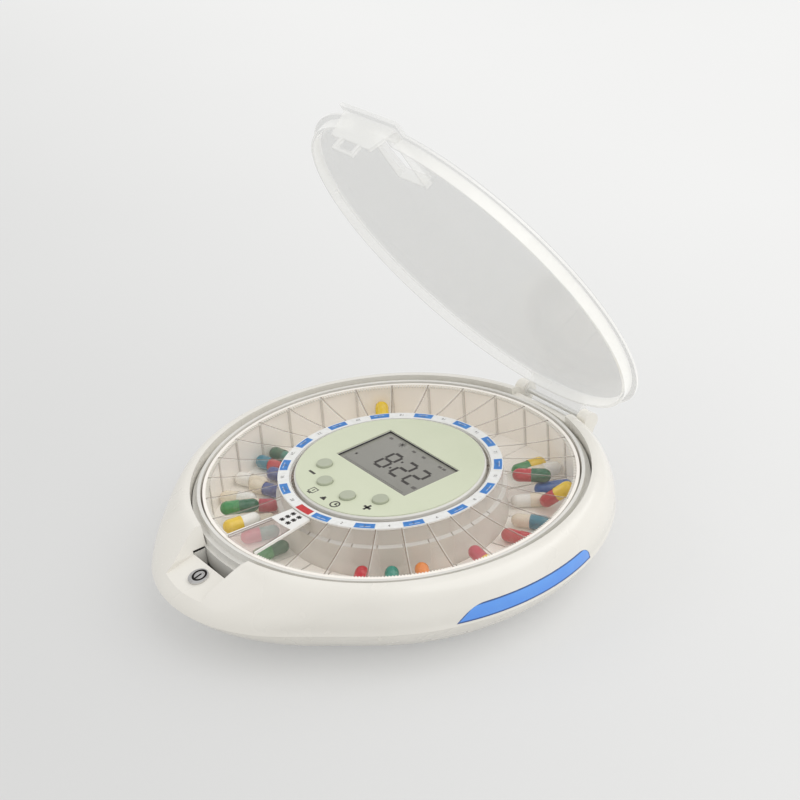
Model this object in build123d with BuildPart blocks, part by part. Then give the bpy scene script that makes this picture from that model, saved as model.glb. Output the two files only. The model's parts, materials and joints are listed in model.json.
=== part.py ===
"""Automatic pill dispenser: a round casing with a nose, a turning tray of doses round a fixed
display, and a clear lid that is hinged at the back and locked at the front.

Millimetres. +Z is up, -Y is the user's side with the lock, +Y is the hinge, +X is the user's right.
The origin is on the tray's axis, on the surface that the dispenser stands on. The lid stands open.
"""

from build123d import *
from math import cos, pi, radians, sin, tan
import os

# ---------------------------------------------------------------- driving dimensions

# Casing, seen from above: round sides, and a nose at the front.
casing_radius = 100.0  # round sides, at the parting line
nose_lead = 16.0  # how far the nose leads the round sides
nose_tangent = 47.7  # degrees from the front to where the nose leaves the round sides
rim_height = 40.0  # top of the casing
crown_inset = 9.1  # from the round sides in to where the crown meets the rim
rim_lead = 0.3
side_fullness = 2.3  # 1 is a straight slope, 2 an ellipse
nose_fade = (1.5, 1.7)  # powers that the nose fades with towards the rim
parting_height = 21.0  # joint between the two casings
casing_wall = 2.2
level_count = 7  # level sections in each casing

# Lower casing.
foot_height = 0.8  # how far the feet hold the underside up
base_inset = 24.5  # from the round sides in to the flat underside
base_lead = 6.0
base_fullness = 1.35
base_setback = 0.7  # step in at the parting line
pan_lip_height = 3.0
pan_lip_wall = 1.4
pan_lip_gap = 0.4
foot_radius = 6.0
foot_recess = 1.2
foot_bevel = 0.5
foot_inset = 13.5

# Upper casing.
rim_land = 1.0  # flat ring round the opening
skirt_wall = 1.8  # collar that hangs round the opening
notch_half_width = 19.0  # at the rim
shelf_half_width = 14.5
shelf_drop = 9.5  # from the rim down to the shelf's inner edge
shelf_gap = 5.5  # from the opening out to the shelf's inner edge
shelf_slope = 13.0  # degrees down towards the nose
shelf_wall = 2.4
notch_depth = 10.0  # how far the notch's cut runs inside the opening
cheek_overlap = 3.5  # of the notch's side walls, past the shelf's edge

# Blue light window in each side.
window_front_share = 0.375  # of the casing's radius
window_back_share = 0.345
window_rise = 1.0  # above the parting line
window_height = 7.4
window_rake = 7.0
window_back_rake = 2.5
window_front_corner = 13.0
window_back_corner = 8.0
window_fit = 0.12
window_reach = 25.0  # how far in the window's cut starts

# Inner housing.
lip_drop = 1.2  # from the rim down to the well's lip
seat_drop = 4.7  # from the rim down to the lid's seat
ledge_drop = 3.5  # from the seat down to the casing's ledge
seat_step = 0.6  # from the opening in to the seat's outer edge
seat_width = 2.4
ledge_step = 1.3  # from the seat's outer edge out to the ledge's
lip_wall = 1.5
well_wall = 1.6
apron_height = 7.8
hub_gap = 0.8  # from the hub's wall to the tips of the tray's teeth
hub_wall = 1.4
rail_gap = 6.8  # from the tray's inner wall to the rail
rail_width = 2.0
rail_height = 0.8

# Tray, with one place more than it has doses: its home place.
place_count = 29
home_angle = -87.0  # degrees from +X to the middle of the home place
tray_side_gap = 0.9
tray_top_drop = 1.8  # from the rim down to the top of the tray's wall
tray_depth = 21.7
tray_wall = 1.4
tray_floor = 1.6
divider_wall = 1.2
divider_drop = 0.2
divider_crest_drop = 0.2  # from the ring's top down to the dividers' inner ends
divider_sag = 0.4  # how far a divider's middle stands above its outer end
inner_wall_gap = 1.4  # from the ring of teeth to the tray's inner wall
inner_step = 1.8
inner_step_drop = 7.2
inner_step_slope = 0.6
flange_wall = 1.0
running_gap = 0.3  # between pieces that move past each other
seat_fit = 0.05  # between pieces that are fixed to each other
join_overlap = 0.2  # of one form with the next in the same piece
cut_margin = 1.0  # how far a cut runs past a surface
ring_label_gap = 2.0
tray_bore_gap = 0.35  # from the hub's wall to the tray's floor
flange_gap = 1.2  # from the hub's wall to the tray's flange
flange_lap = 0.2  # how far the flange runs past the inner wall
ring_label_wall = 0.7
ring_rise = 0.4
cover_half_angle = 7.1
cover_gap = 0.4
cover_wall = 1.2
label_length = 10.9
label_wall = 0.2
label_margin = 0.5  # degrees at each side

# Gear train, from the motor to the ring of teeth inside the tray.
module = 1.0
ring_teeth = 90
drive_teeth = 16
pinion_teeth = 12
tooth_height_out = 0.8  # in modules, beyond the pitch circle
tooth_height_in = 1.1
tooth_share = 0.41  # of a tooth's thickness in the pitch
tooth_lean = 20.0
tooth_bedding = 0.05  # how deep a tooth's foot goes into its gear
gear_width = 4.0
gear_gap = 1.2
ring_gear_wall = 1.5
axle_radius = 1.5
shaft_clearance = 0.05
plate_wall = 1.6
plate_corner = 2.0
plate_fit = 0.02
slot_half_width = 9.6  # in the hub's wall, for the drive gear
gear_play = 0.4  # of the ring of teeth, above and below the drive gear
axle_rise = 0.8  # above the drive gear
shaft_end_gap = 0.3
terminal_rise = 3.0
terminal_size = (4.0, 7.0, 6.0)
motor_radius = 10.0
motor_height = 20.0
motor_shaft_length = 13.0
plate_half_width = 9.0
plate_margin = 2.6
plate_post_side = 15.0
plate_post_radius = 2.6

# Battery bay, four AA cells in two layers.
cell_radius = 7.1
cell_length = 49.2
cell_cap_radius = 2.7
cell_cap_height = 1.0
cell_gap = 0.2
bay_centre = -4.5
bay_wall = 1.4
bay_top_wall = 1.4
contact_space = 2.2
contact_wall = 0.4
contact_width = 9.0
contact_tip_radius = 2.2
contact_taper = 20.0  # degrees
door_wall = 2.0
door_margin = 3.0
door_corner = 0.6
door_notch_length = 10.0
door_notch_width = 4.0
door_notch_depth = 0.9

# Display and buttons.
board_gap = 1.4
board_wall = 1.4
board_side_gap = 0.3
ledge_width = 1.8
switch_side = 6.0
switch_height = 1.8
plunger_height = 0.2
plunger_radius = 1.6
button_travel = 0.5
button_radius = 3.6
button_side_gap = 0.15
button_flange_radius = 4.8
button_flange_wall = 0.9
button_rise = 1.2
button_rounding = 0.4
button_play = 0.1
housing_setback = 0.2
housing_bevel = 0.6
housing_wall = 1.3
housing_plate = 1.6
fascia_inset = 0.8
fascia_wall = 0.5
lcd_width = 51.0
lcd_height = 31.0
lcd_centre = 4.1
lcd_border = 2.0
lcd_strip_width = 2.4
lcd_wall = 2.4
lcd_recess = 1.3
button_places = {
    "button_minus": (-21.1, -20.9),
    "button_clock": (-8.6, -29.5),
    "button_alarm": (8.6, -29.5),
    "button_plus": (21.1, -20.9),
}
buzzer_radius = 5.0
buzzer_height = 2.8
buzzer_bore = 1.0
buzzer_place = (0.0, -19.6)

# Lid, described closed. It turns about the hinge pin.
lid_open_angle = 59.0  # as it stands
hinge_offset = 8.9  # hinge pin, behind the opening
hinge_drop = 4.8  # below the rim
hinge_block = 3.0  # of casing under the knuckle
hinge_pin_radius = 1.25
pin_clearance = 0.08
knuckle_radius = 3.2
knuckle_half_length = 18.6
ear_gap = 0.4
ear_wall = 6.0
ear_radius = 4.2
arm_drop = 1.4  # from the pin up to the dip that the lid's arm passes over
ear_foot_drop = 12.0
ear_foot_inset = 2.5
pin_end_cover = 1.0
lid_overlap = 1.4  # past the opening
lid_wall = 1.7
lid_edge_gap = 0.6  # from the rim up to the lid's edge
lid_crown = 4.8
skirt_side_gap = 1.1  # from the opening in to the lid's skirt
lid_edge_bevel = (1.0, 0.7)
lid_skirt_wall = 1.5
nose_overlap = 6.0  # of the front edge with the lid's disc
nose_margin = 1.0  # of the front edge, past each side of the hood
lid_nose_reach = 4.4  # in front of the tongue's inner face
tongue_gap = 1.2  # from the opening out to the tongue's inner face
tongue_wall = 1.6
tongue_half_width = 18.0
hood_foot_half_width = 15.9
tongue_foot_half_width = 13.0
tongue_drop = 2.5  # below the shelf's inner edge
hood_depth = 5.0
hook_half_width = 7.0
hook_drop = 5.4
hook_rim = 1.6  # under the hook's window
hook_window_height = 4.2
hook_window_half_width = 5.2
tab_overlap = 5.0  # of the hinge tab with the lid's disc
tab_step = 0.4
tab_bend = 2.4  # from the lid's edge out to where the tab turns down
tab_slant = 0.8
tab_outer = (2.3, 2.2)  # where the tab meets the knuckle, from the pin
tab_inner = (2.9, 1.3)
mouth_half_width = 8.5
mouth_inner_gap = 5.6
mouth_outer_gap = 2.5
mouth_wall = 1.4
mouth_gap = 0.7

# Lock, square to the shelf.
lock_setback = 6.6  # from the shelf's inner edge out to the lock
lock_flange_radius = 4.6
lock_flange_wall = 0.8
lock_barrel_radius = 3.7
lock_plug_radius = 2.5
lock_clearance = 0.06
lock_depth = 5.0
keyway_width = 0.9
keyway_length = 3.6
keyway_depth = 2.5
cam_reach = 9.4
cam_half_width = 2.6
cam_wall = 1.4
cam_shoulder = 0.8
cam_square = 2.4
nut_radius = 5.6
nut_wall = 1.2

# Screws.
screw_count = 6
screw_inset = 9.5
screw_radius = 1.5
screw_spare = 1.6  # from a screw's tip up to the inner housing's underside
screw_head_radius = 2.8
screw_head_height = 2.0
screw_head_recess = 0.8
screw_cross = (3.2, 0.7, 1.0)  # length, width and depth
screw_hole_clearance = 0.25
screw_thread_fit = 0.02
pillar_radius = 4.2
pillar_height = 4.0
board_screw_radius = 1.0
board_screw_length = 4.0
board_screw_head = 1.9
board_screw_inset = 5.0
board_screw_head_height = 1.2
board_screw_cross = (2.2, 0.5, 0.7)
board_screw_spare = 0.6  # of the boss, under the screw's hole
boss_radius = 2.2

# LED boards behind the windows.
led_board_length = 40.0
led_board_height = 7.0
led_board_wall = 1.0
led_board_inset = 7.8  # from the round sides in to the board's inner face
led_board_rise = 0.5  # above the parting line
led_rib_drop = 3.8
led_rib_wall = 1.6
led_rib_half_width = 1.5
led_rib_rise = 2.0
led_rib_end = 5.0
led_side = 2.0
led_height = 0.9
led_pitch = 11.0
led_count = 4
led_offset = 1.0  # above the board's middle

# ---------------------------------------------------------------- sizes that follow from them

nose_reach = casing_radius + nose_lead
rim_edge_radius = casing_radius - crown_inset
base_radius = casing_radius - base_inset
pan_lip_radius = casing_radius - casing_wall - pan_lip_gap
foot_circle = base_radius - foot_inset
screw_circle = base_radius - screw_inset
opening_radius = rim_edge_radius - rim_land
seat_radius = opening_radius - seat_step
ledge_radius = seat_radius + ledge_step
lip_outer_radius = seat_radius - seat_width
lip_inner_radius = lip_outer_radius - lip_wall
tray_radius = lip_inner_radius - tray_side_gap
shelf_inner_edge = opening_radius + shelf_gap
shelf_height = rim_height - shelf_drop
window_front = -window_front_share * casing_radius
window_back = window_back_share * casing_radius
window_foot = parting_height + window_rise
window_head = window_foot + window_height

ring_pitch_radius = module * ring_teeth / 2
ring_root_radius = ring_pitch_radius + tooth_height_in * module
hub_radius = ring_pitch_radius - tooth_height_out * module - hub_gap
inner_wall_radius = ring_root_radius + ring_gear_wall + inner_wall_gap + tray_wall
lower_wall_radius = inner_wall_radius + inner_step
rail_radius = lower_wall_radius + rail_gap
housing_radius = hub_radius - housing_setback
fascia_radius = housing_radius - fascia_inset
board_radius = housing_radius - housing_wall - board_side_gap
board_screw_circle = hub_radius - board_screw_inset

base_height = foot_height
base_floor = base_height + casing_wall
lip_height = rim_height - lip_drop
seat_height = rim_height - seat_drop
ledge_height = seat_height - ledge_drop

tray_top = rim_height - tray_top_drop
tray_floor_top = tray_top - tray_depth
tray_underside = tray_floor_top - tray_floor
divider_top = tray_top - divider_drop
rail_top = tray_underside - running_gap
well_floor_top = rail_top - rail_height
well_underside = well_floor_top - well_wall
ring_top = rim_height + ring_rise
pillar_top = base_floor + pillar_height
counterbore_top = base_height + screw_head_height + screw_head_recess
screw_length = well_underside - screw_spare - counterbore_top
flange_top = ring_top - ring_label_wall
flange_underside = flange_top - flange_wall
inner_step_height = flange_underside - inner_step_drop
place_angle = 360.0 / place_count
cover_top = divider_top + cover_wall

cell_low = base_height + door_wall + cell_gap + cell_radius
cell_high = cell_low + 2 * cell_radius + cell_gap
bay_ceiling = cell_high + cell_radius + cell_gap
bay_top = bay_ceiling + bay_top_wall
bay_half_depth = 2 * cell_radius + 1.5 * cell_gap
bay_half_length = cell_length / 2 + contact_space

board_underside = bay_top + board_gap
board_top = board_underside + board_wall
plunger_top = board_top + switch_height + plunger_height
button_foot = plunger_top + button_travel + button_play
button_flange_top = button_foot + button_flange_wall
plate_underside = button_flange_top + button_play
plate_top = plate_underside + housing_plate
fascia_top = plate_top + fascia_wall
button_top = fascia_top + button_rise
lcd_top = fascia_top - lcd_recess

drive_pitch_radius = module * drive_teeth / 2
pinion_pitch_radius = module * pinion_teeth / 2
drive_back = ring_pitch_radius - drive_pitch_radius
motor_back = drive_back - drive_pitch_radius - pinion_pitch_radius
gear_top = board_underside - gear_gap
gear_foot = gear_top - gear_width
gear_plate_top = gear_foot - running_gap
gear_plate_foot = gear_plate_top - plate_wall
motor_foot = gear_plate_foot - motor_height

hinge_back = opening_radius + hinge_offset
hinge_height = rim_height - hinge_drop
lid_radius = opening_radius + lid_overlap
skirt_outer_radius = opening_radius - skirt_side_gap
skirt_inner_radius = skirt_outer_radius - lid_skirt_wall
tongue_face = opening_radius + tongue_gap
lid_nose = tongue_face + lid_nose_reach
tongue_foot = shelf_height - tongue_drop
hook_foot = tongue_foot - hook_drop
hook_window_foot = hook_foot + hook_rim
hook_window_head = hook_window_foot + hook_window_height
mouth_inner = inner_wall_radius + mouth_inner_gap
mouth_outer = tray_radius - mouth_outer_gap
lid_edge_height = rim_height + lid_edge_gap
skirt_foot = seat_height + running_gap
lid_edge_top = lid_edge_height + lid_wall
hinge_pin_half_length = knuckle_half_length + ear_gap + ear_wall - pin_end_cover
ear_inner = knuckle_half_length + ear_gap
ear_outer = ear_inner + ear_wall

lock_front = shelf_inner_edge + lock_setback
led_board_back = casing_radius - led_board_inset
led_board_foot = parting_height + led_board_rise
led_rib_foot = parting_height - led_rib_drop


def lid_plane(height):
    """A level plane of the closed lid, as it lies with the lid open: x is across, y is to the back."""
    tilt = radians(lid_open_angle)
    above = height - hinge_height
    return Plane(
        origin=(
            0,
            hinge_back - hinge_back * cos(tilt) + above * sin(tilt),
            hinge_height + hinge_back * sin(tilt) + above * cos(tilt),
        ),
        x_dir=(1, 0, 0),
        z_dir=(0, sin(tilt), cos(tilt)),
    )


lid_base = lid_plane(0)
lid_axis = Axis(lid_base.origin, lid_base.z_dir)
lid_section = Plane(origin=lid_base.origin, x_dir=(1, 0, 0), z_dir=-lid_base.y_dir)
lid_side = Plane(origin=lid_base.origin, x_dir=lid_base.y_dir, z_dir=(1, 0, 0))

shelf_tilt = radians(shelf_slope)
lock_height = shelf_height - (lock_front - shelf_inner_edge) * tan(shelf_tilt)
lock_plane = Plane(
    origin=(0, -lock_front, lock_height),
    x_dir=(1, 0, 0),
    z_dir=(0, -sin(shelf_tilt), cos(shelf_tilt)),
)

# ---------------------------------------------------------------- shapes that several pieces share


def outline(plane, side_radius, lead):
    """A level section of the casing: the round sides, two tangents and the nose."""
    turn = radians(nose_tangent)
    shift = lead / (1 - cos(turn))
    nose_radius = side_radius + lead - shift
    side = (side_radius * sin(turn), -side_radius * cos(turn))
    nose = (nose_radius * sin(turn), -shift - nose_radius * cos(turn))
    with BuildSketch(plane) as level:
        with BuildLine():
            ThreePointArc(side, (0, side_radius), (-side[0], side[1]))
            Line((-side[0], side[1]), (-nose[0], nose[1]))
            ThreePointArc((-nose[0], nose[1]), (0, -side_radius - lead), nose)
            Line(nose, side)
        make_face()
    return level.sketch


def upper_casing(inset):
    """The upper casing as a solid block, or with an inset, the space inside it."""
    sections = []
    for step in range(level_count):
        turn = radians(90.0 * step / (level_count - 1))
        rise = sin(turn)
        full = (1 - rise**side_fullness) ** (1 / side_fullness)
        side = rim_edge_radius + (casing_radius - rim_edge_radius) * full
        lead = rim_lead + (nose_lead - rim_lead) * (1 - rise ** nose_fade[0]) ** nose_fade[1]
        height = parting_height + (rim_height - parting_height) * rise - inset * rise
        sections.append(outline(Plane.XY.offset(height), side - inset * cos(turn), lead))
    return loft(sections, mode=Mode.PRIVATE)


def lower_casing(inset):
    """The lower casing as a solid block, or with an inset, the space inside it."""
    sections = []
    for step in range(level_count):
        turn = radians(90.0 * step / (level_count - 1))
        rise = 1 - cos(turn)
        full = (1 - (1 - rise) ** base_fullness) ** (1 / base_fullness)
        side = base_radius + (casing_radius - base_setback - base_radius) * full
        lead = base_lead + (nose_lead - base_lead) * full
        height = base_height + (parting_height - base_height) * rise + inset * cos(turn)
        sections.append(outline(Plane.XY.offset(height), side - inset * sin(turn), lead))
    return loft(sections, mode=Mode.PRIVATE)


def face(plane, *points):
    """A flat face with straight sides."""
    with BuildSketch(plane) as flat:
        Polygon(*points, align=None)
    return flat.sketch


def turned(*points):
    """A ring or disc, from the (radius, height) points of its section."""
    return revolve(face(Plane.XZ, *points), axis=Axis.Z, mode=Mode.PRIVATE)


def ring(inner, outer, low, high):
    """A plain ring about the tray's axis."""
    return turned((inner, low), (outer, low), (outer, high), (inner, high))


def box(low, high):
    """A block between two corners."""
    size = [top - bottom for bottom, top in zip(low, high)]
    middle = [(top + bottom) / 2 for bottom, top in zip(low, high)]
    return Pos(*middle) * Box(*size, mode=Mode.PRIVATE)


def tooth(pitch_radius, way):
    """Corners of a gear's tooth along +X that points outwards (way 1) or inwards (way -1)."""
    half = module * pi * tooth_share / 2
    lean = tan(radians(tooth_lean)) * module
    root = (pitch_radius - way * tooth_height_in * module, half + lean * tooth_height_in)
    tip = (pitch_radius + way * tooth_height_out * module, half - lean * tooth_height_out)
    return [(root[0], -root[1]), (tip[0], -tip[1]), tip, root]


def spur_gear(centre, teeth, bore, first_tooth):
    """A small gear about a vertical axis, with its first tooth at an angle from +X."""
    pitch_radius = module * teeth / 2
    with BuildPart() as gear:
        with BuildSketch(Plane.XY.offset(gear_foot)):
            with Locations((0, centre)):
                Circle(pitch_radius - tooth_height_in * module + tooth_bedding)
                with PolarLocations(0, teeth, start_angle=first_tooth):
                    Polygon(*tooth(pitch_radius, 1), align=None)
                Circle(bore, mode=Mode.SUBTRACT)
        extrude(amount=gear_width)
    return gear.part


def save(piece, name):
    piece.label = name
    export_step(piece, f"parts/{name}.step")


os.makedirs("parts", exist_ok=True)
upper_block = upper_casing(0)
upper_space = upper_casing(casing_wall)
lower_block = lower_casing(0)
lower_space = lower_casing(casing_wall)

# ---------------------------------------------------------------- upper casing

# What stays inside the upper casing's space: the collar, the shelf's block and the hinge's block.
cheek_outer = notch_half_width + 2 * casing_wall
with BuildPart() as shell_space:
    add(upper_space)
    with BuildSketch(Plane.XY.offset(parting_height - casing_wall)):
        add(outline(Plane.XY, casing_radius - casing_wall, nose_lead))
    extrude(amount=casing_wall)
    add(ring(opening_radius, opening_radius + skirt_wall, ledge_height, rim_height), mode=Mode.SUBTRACT)
    with BuildSketch(Plane.YZ):
        with BuildLine():
            fall = (nose_reach - shelf_inner_edge) * tan(shelf_tilt)
            Polyline(
                (-shelf_inner_edge, shelf_height - shelf_wall),
                (-shelf_inner_edge, rim_height),
                (-nose_reach, rim_height),
                (-nose_reach, shelf_height - shelf_wall - fall),
                close=True,
            )
        make_face()
    extrude(amount=notch_half_width + casing_wall, both=True, mode=Mode.SUBTRACT)
    for ends in ((-cheek_outer, -shelf_half_width), (shelf_half_width, cheek_outer)):
        add(
            box(
                (ends[0], -shelf_inner_edge - cheek_overlap, ledge_height),
                (ends[1], -opening_radius + 2 * cheek_overlap, rim_height),
            ),
            mode=Mode.SUBTRACT,
        )
    add(
        box(
            (-ear_outer, opening_radius, hinge_height - knuckle_radius - hinge_block),
            (ear_outer, hinge_back + 2 * ear_radius, rim_height),
        ),
        mode=Mode.SUBTRACT,
    )

with BuildPart() as upper_shell:
    add(upper_block)
    # Hinge ears, round about the pin.
    for side in (-1, 1):
        with BuildSketch(Plane.YZ.offset(side * (ear_inner + ear_wall / 2))):
            with Locations((hinge_back, hinge_height)):
                Circle(ear_radius)
            Polygon(
                (hinge_back - ear_radius, hinge_height),
                (hinge_back + ear_radius, hinge_height),
                (hinge_back - ear_foot_inset, hinge_height - ear_foot_drop),
                (hinge_back - ear_foot_drop, hinge_height - ear_foot_drop),
                align=None,
            )
        extrude(amount=ear_wall / 2, both=True)
    add(shell_space.part, mode=Mode.SUBTRACT)
    # Round opening, and room for the inner housing's ledge under the collar.
    add(ring(0, opening_radius, 0, rim_height + cut_margin), mode=Mode.SUBTRACT)
    add(ring(0, ledge_radius + running_gap, 0, ledge_height + seat_fit), mode=Mode.SUBTRACT)
    # Front notch, down to the shelf, and the slot behind the shelf.
    with BuildSketch(Plane.XZ.offset(nose_reach)):
        Polygon(
            (-shelf_half_width, shelf_height),
            (shelf_half_width, shelf_height),
            (notch_half_width, rim_height),
            (notch_half_width, rim_height + cut_margin),
            (-notch_half_width, rim_height + cut_margin),
            (-notch_half_width, rim_height),
            align=None,
        )
    extrude(amount=-(nose_reach - opening_radius + notch_depth), mode=Mode.SUBTRACT)
    with BuildSketch(Plane.YZ):
        Polygon(
            (-shelf_inner_edge, shelf_height),
            (-nose_reach, shelf_height - fall),
            (-nose_reach, shelf_height + cut_margin),
            (-shelf_inner_edge, shelf_height + cut_margin),
            align=None,
        )
    extrude(amount=shelf_half_width, both=True, mode=Mode.SUBTRACT)
    add(
        box(
            (-shelf_half_width, -shelf_inner_edge, parting_height),
            (shelf_half_width, -opening_radius + notch_depth, shelf_height + cut_margin),
        ),
        mode=Mode.SUBTRACT,
    )
    # Gap for the lid's knuckle, and the pin's holes.
    add(
        box(
            (-ear_inner, opening_radius + skirt_wall, hinge_height - knuckle_radius - ear_gap),
            (ear_inner, hinge_back + 3 * ear_radius, rim_height + cut_margin),
        ),
        mode=Mode.SUBTRACT,
    )
    add(
        box(
            (-ear_inner, opening_radius - ear_radius, hinge_height + arm_drop),
            (ear_inner, opening_radius + ear_radius, rim_height + cut_margin),
        ),
        mode=Mode.SUBTRACT,
    )
    with BuildSketch(Plane.YZ):
        with Locations((hinge_back, hinge_height)):
            Circle(hinge_pin_radius + seat_fit)
    extrude(amount=hinge_pin_half_length + seat_fit, both=True, mode=Mode.SUBTRACT)
    # Hole for the lock.
    with BuildSketch(lock_plane.offset(-lock_depth)):
        Circle(lock_barrel_radius + seat_fit)
    extrude(amount=2 * lock_depth, mode=Mode.SUBTRACT)


def window_block(fit):
    """The block that the light window and its hole are cut with, as seen from the side."""
    with BuildPart() as block:
        with BuildSketch(Plane.YZ.offset(casing_radius - window_reach)) as side_view:
            Polygon(
                (window_front + fit, window_foot + fit),
                (window_front + window_rake + fit, window_head - fit),
                (window_back - window_back_rake - fit, window_head - fit),
                (window_back - fit, window_foot + fit),
                align=None,
            )
            for end, radius in ((0, window_front_corner), (-1, window_back_corner)):
                heads = side_view.vertices().group_by(Axis.Y)[-1].sort_by(Axis.X)
                fillet(heads[end], radius=radius)
        extrude(amount=window_reach + casing_wall)
    return block.part


window_hole = window_block(0)
window_blank = window_block(window_fit)
with BuildPart() as upper_shell_cut:
    add(upper_shell.part)
    add(window_hole, mode=Mode.SUBTRACT)
    add(mirror(window_hole, about=Plane.YZ, mode=Mode.PRIVATE), mode=Mode.SUBTRACT)
save(upper_shell_cut.part, "upper_shell")

with BuildPart() as light_window_right:
    add(upper_block)
    add(window_blank, mode=Mode.INTERSECT)
    add(upper_space, mode=Mode.SUBTRACT)
save(light_window_right.part, "light_window_right")
light_window_left = mirror(light_window_right.part, about=Plane.YZ)
save(light_window_left, "light_window_left")

# ---------------------------------------------------------------- lower casing

with BuildPart() as base_pan:
    add(lower_block)
    add(lower_space, mode=Mode.SUBTRACT)
    # Lip that stands up inside the upper casing.
    with BuildSketch(Plane.XY.offset(parting_height - pan_lip_height / 2)):
        add(outline(Plane.XY, pan_lip_radius, nose_lead - pan_lip_gap))
        add(
            outline(Plane.XY, pan_lip_radius - pan_lip_wall, nose_lead - pan_lip_gap),
            mode=Mode.SUBTRACT,
        )
    extrude(amount=pan_lip_height)
    # Battery bay, a box that is open below.
    with BuildSketch(Plane.XY.offset(base_height)):
        with Locations((0, bay_centre)):
            Rectangle(2 * (bay_half_length + bay_wall), 2 * (bay_half_depth + bay_wall))
    extrude(amount=bay_top - base_height)
    with BuildSketch(Plane.XY.offset(base_height)):
        with Locations((0, bay_centre)):
            Rectangle(2 * bay_half_length, 2 * bay_half_depth)
    extrude(amount=bay_ceiling - base_height, mode=Mode.SUBTRACT)
    with BuildSketch(Plane.XY.offset(base_height)):
        with Locations((0, bay_centre)):
            Rectangle(2 * (bay_half_length + door_margin), 2 * (bay_half_depth + door_margin))
    extrude(amount=door_wall, mode=Mode.SUBTRACT)
    # Motor's pedestal.
    with BuildSketch(Plane.XY.offset(base_floor)):
        with Locations((0, motor_back)):
            Circle(motor_radius - plate_wall)
    extrude(amount=motor_foot - base_floor)
    # Posts that the gear plate stands on.
    with BuildSketch(Plane.XY.offset(base_floor)):
        with Locations((-plate_post_side, motor_back), (plate_post_side, motor_back)):
            Circle(plate_post_radius)
    extrude(amount=gear_plate_foot - base_floor)
    # Ribs that hold the light boards.
    for side in (-1, 1):
        for way in (-1, 1):
            middle = way * (led_board_length / 2 - led_rib_end)
            edges = sorted(
                (
                    side * (led_board_back - led_rib_wall),
                    side * (led_board_back + led_board_wall + led_rib_wall),
                )
            )
            add(
                box(
                    (edges[0], middle - led_rib_half_width, led_rib_foot),
                    (edges[1], middle + led_rib_half_width, led_board_foot + led_rib_rise),
                )
            )
        edges = sorted(
            (
                side * (led_board_back - seat_fit),
                side * (led_board_back + led_board_wall + seat_fit),
            )
        )
        add(
            box(
                (edges[0], -led_board_length / 2, led_board_foot - seat_fit),
                (edges[1], led_board_length / 2, led_board_foot + led_board_height),
            ),
            mode=Mode.SUBTRACT,
        )
    # Screw pillars, with their heads let in from below.
    with BuildSketch(Plane.XY.offset(base_height + seat_fit)):
        with PolarLocations(screw_circle, screw_count):
            Circle(pillar_radius)
    extrude(amount=pillar_top - base_height - seat_fit)
    with BuildSketch(Plane.XY.offset(base_height)):
        with PolarLocations(screw_circle, screw_count):
            Circle(screw_head_radius + screw_hole_clearance)
    extrude(amount=counterbore_top - base_height, mode=Mode.SUBTRACT)
    with BuildSketch(Plane.XY.offset(base_height)):
        with PolarLocations(screw_circle, screw_count):
            Circle(screw_radius + screw_hole_clearance)
    extrude(amount=pillar_top - base_height, mode=Mode.SUBTRACT)
    # Recesses for the feet.
    with BuildSketch(Plane.XY.offset(base_height)):
        with PolarLocations(foot_circle, 4, start_angle=45.0):
            Circle(foot_radius + seat_fit)
    extrude(amount=foot_recess, mode=Mode.SUBTRACT)
save(base_pan.part, "base_pan")

with BuildPart() as rubber_feet:
    with BuildSketch(Plane.XY):
        with PolarLocations(foot_circle, 4, start_angle=45.0):
            Circle(foot_radius)
    extrude(amount=base_height + foot_recess - seat_fit)
    chamfer(rubber_feet.edges().group_by(Axis.Z)[0], length=foot_bevel)
save(rubber_feet.part, "rubber_feet")

with BuildPart() as battery_door:
    with BuildSketch(Plane.XY.offset(base_height)):
        with Locations((0, bay_centre)):
            RectangleRounded(
                2 * (bay_half_length + door_margin - running_gap),
                2 * (bay_half_depth + door_margin - running_gap),
                door_corner,
            )
    extrude(amount=door_wall - seat_fit)
    # Finger notch.
    with BuildSketch(Plane.XY.offset(base_height)):
        with Locations((bay_half_length - door_notch_depth, bay_centre)):
            SlotOverall(door_notch_length, door_notch_width, rotation=90)
    extrude(amount=door_notch_depth, mode=Mode.SUBTRACT)
save(battery_door.part, "battery_door")

# Cells lie along X, two side by side and two layers high, and point opposite ways in each layer.
with BuildPart() as batteries:
    for layer, height in enumerate((cell_low, cell_high)):
        for side in (-1, 1):
            depth = bay_centre + side * (cell_radius + cell_gap / 2)
            way = side if layer == 0 else -side
            with BuildSketch(Plane.YZ):
                with Locations((depth, height)):
                    Circle(cell_radius)
            extrude(amount=cell_length / 2 - cell_cap_height, both=True)
            with BuildSketch(Plane.YZ.offset(way * (cell_length / 2 - cell_cap_height))):
                with Locations((depth, height)):
                    Circle(cell_cap_radius)
            extrude(amount=way * cell_cap_height)
save(batteries.part, "batteries")

with BuildPart() as battery_contacts:
    for end in (-1, 1):
        for side in (-1, 1):
            row = bay_centre + side * (cell_radius + cell_gap / 2)
            with BuildSketch(Plane.YZ.offset(end * (bay_half_length - contact_wall))):
                with Locations((row, (cell_low + cell_high) / 2)):
                    Rectangle(contact_width, 2 * cell_radius + contact_width)
            extrude(amount=end * (contact_wall - seat_fit))
            with BuildSketch(Plane.YZ.offset(end * (bay_half_length - contact_wall))):
                for height in (cell_low, cell_high):
                    with Locations((row, height)):
                        Circle(contact_tip_radius)
            extrude(amount=-end * (contact_space - contact_wall - seat_fit), taper=contact_taper)
save(battery_contacts.part, "battery_contacts")

# ---------------------------------------------------------------- inner housing

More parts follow.
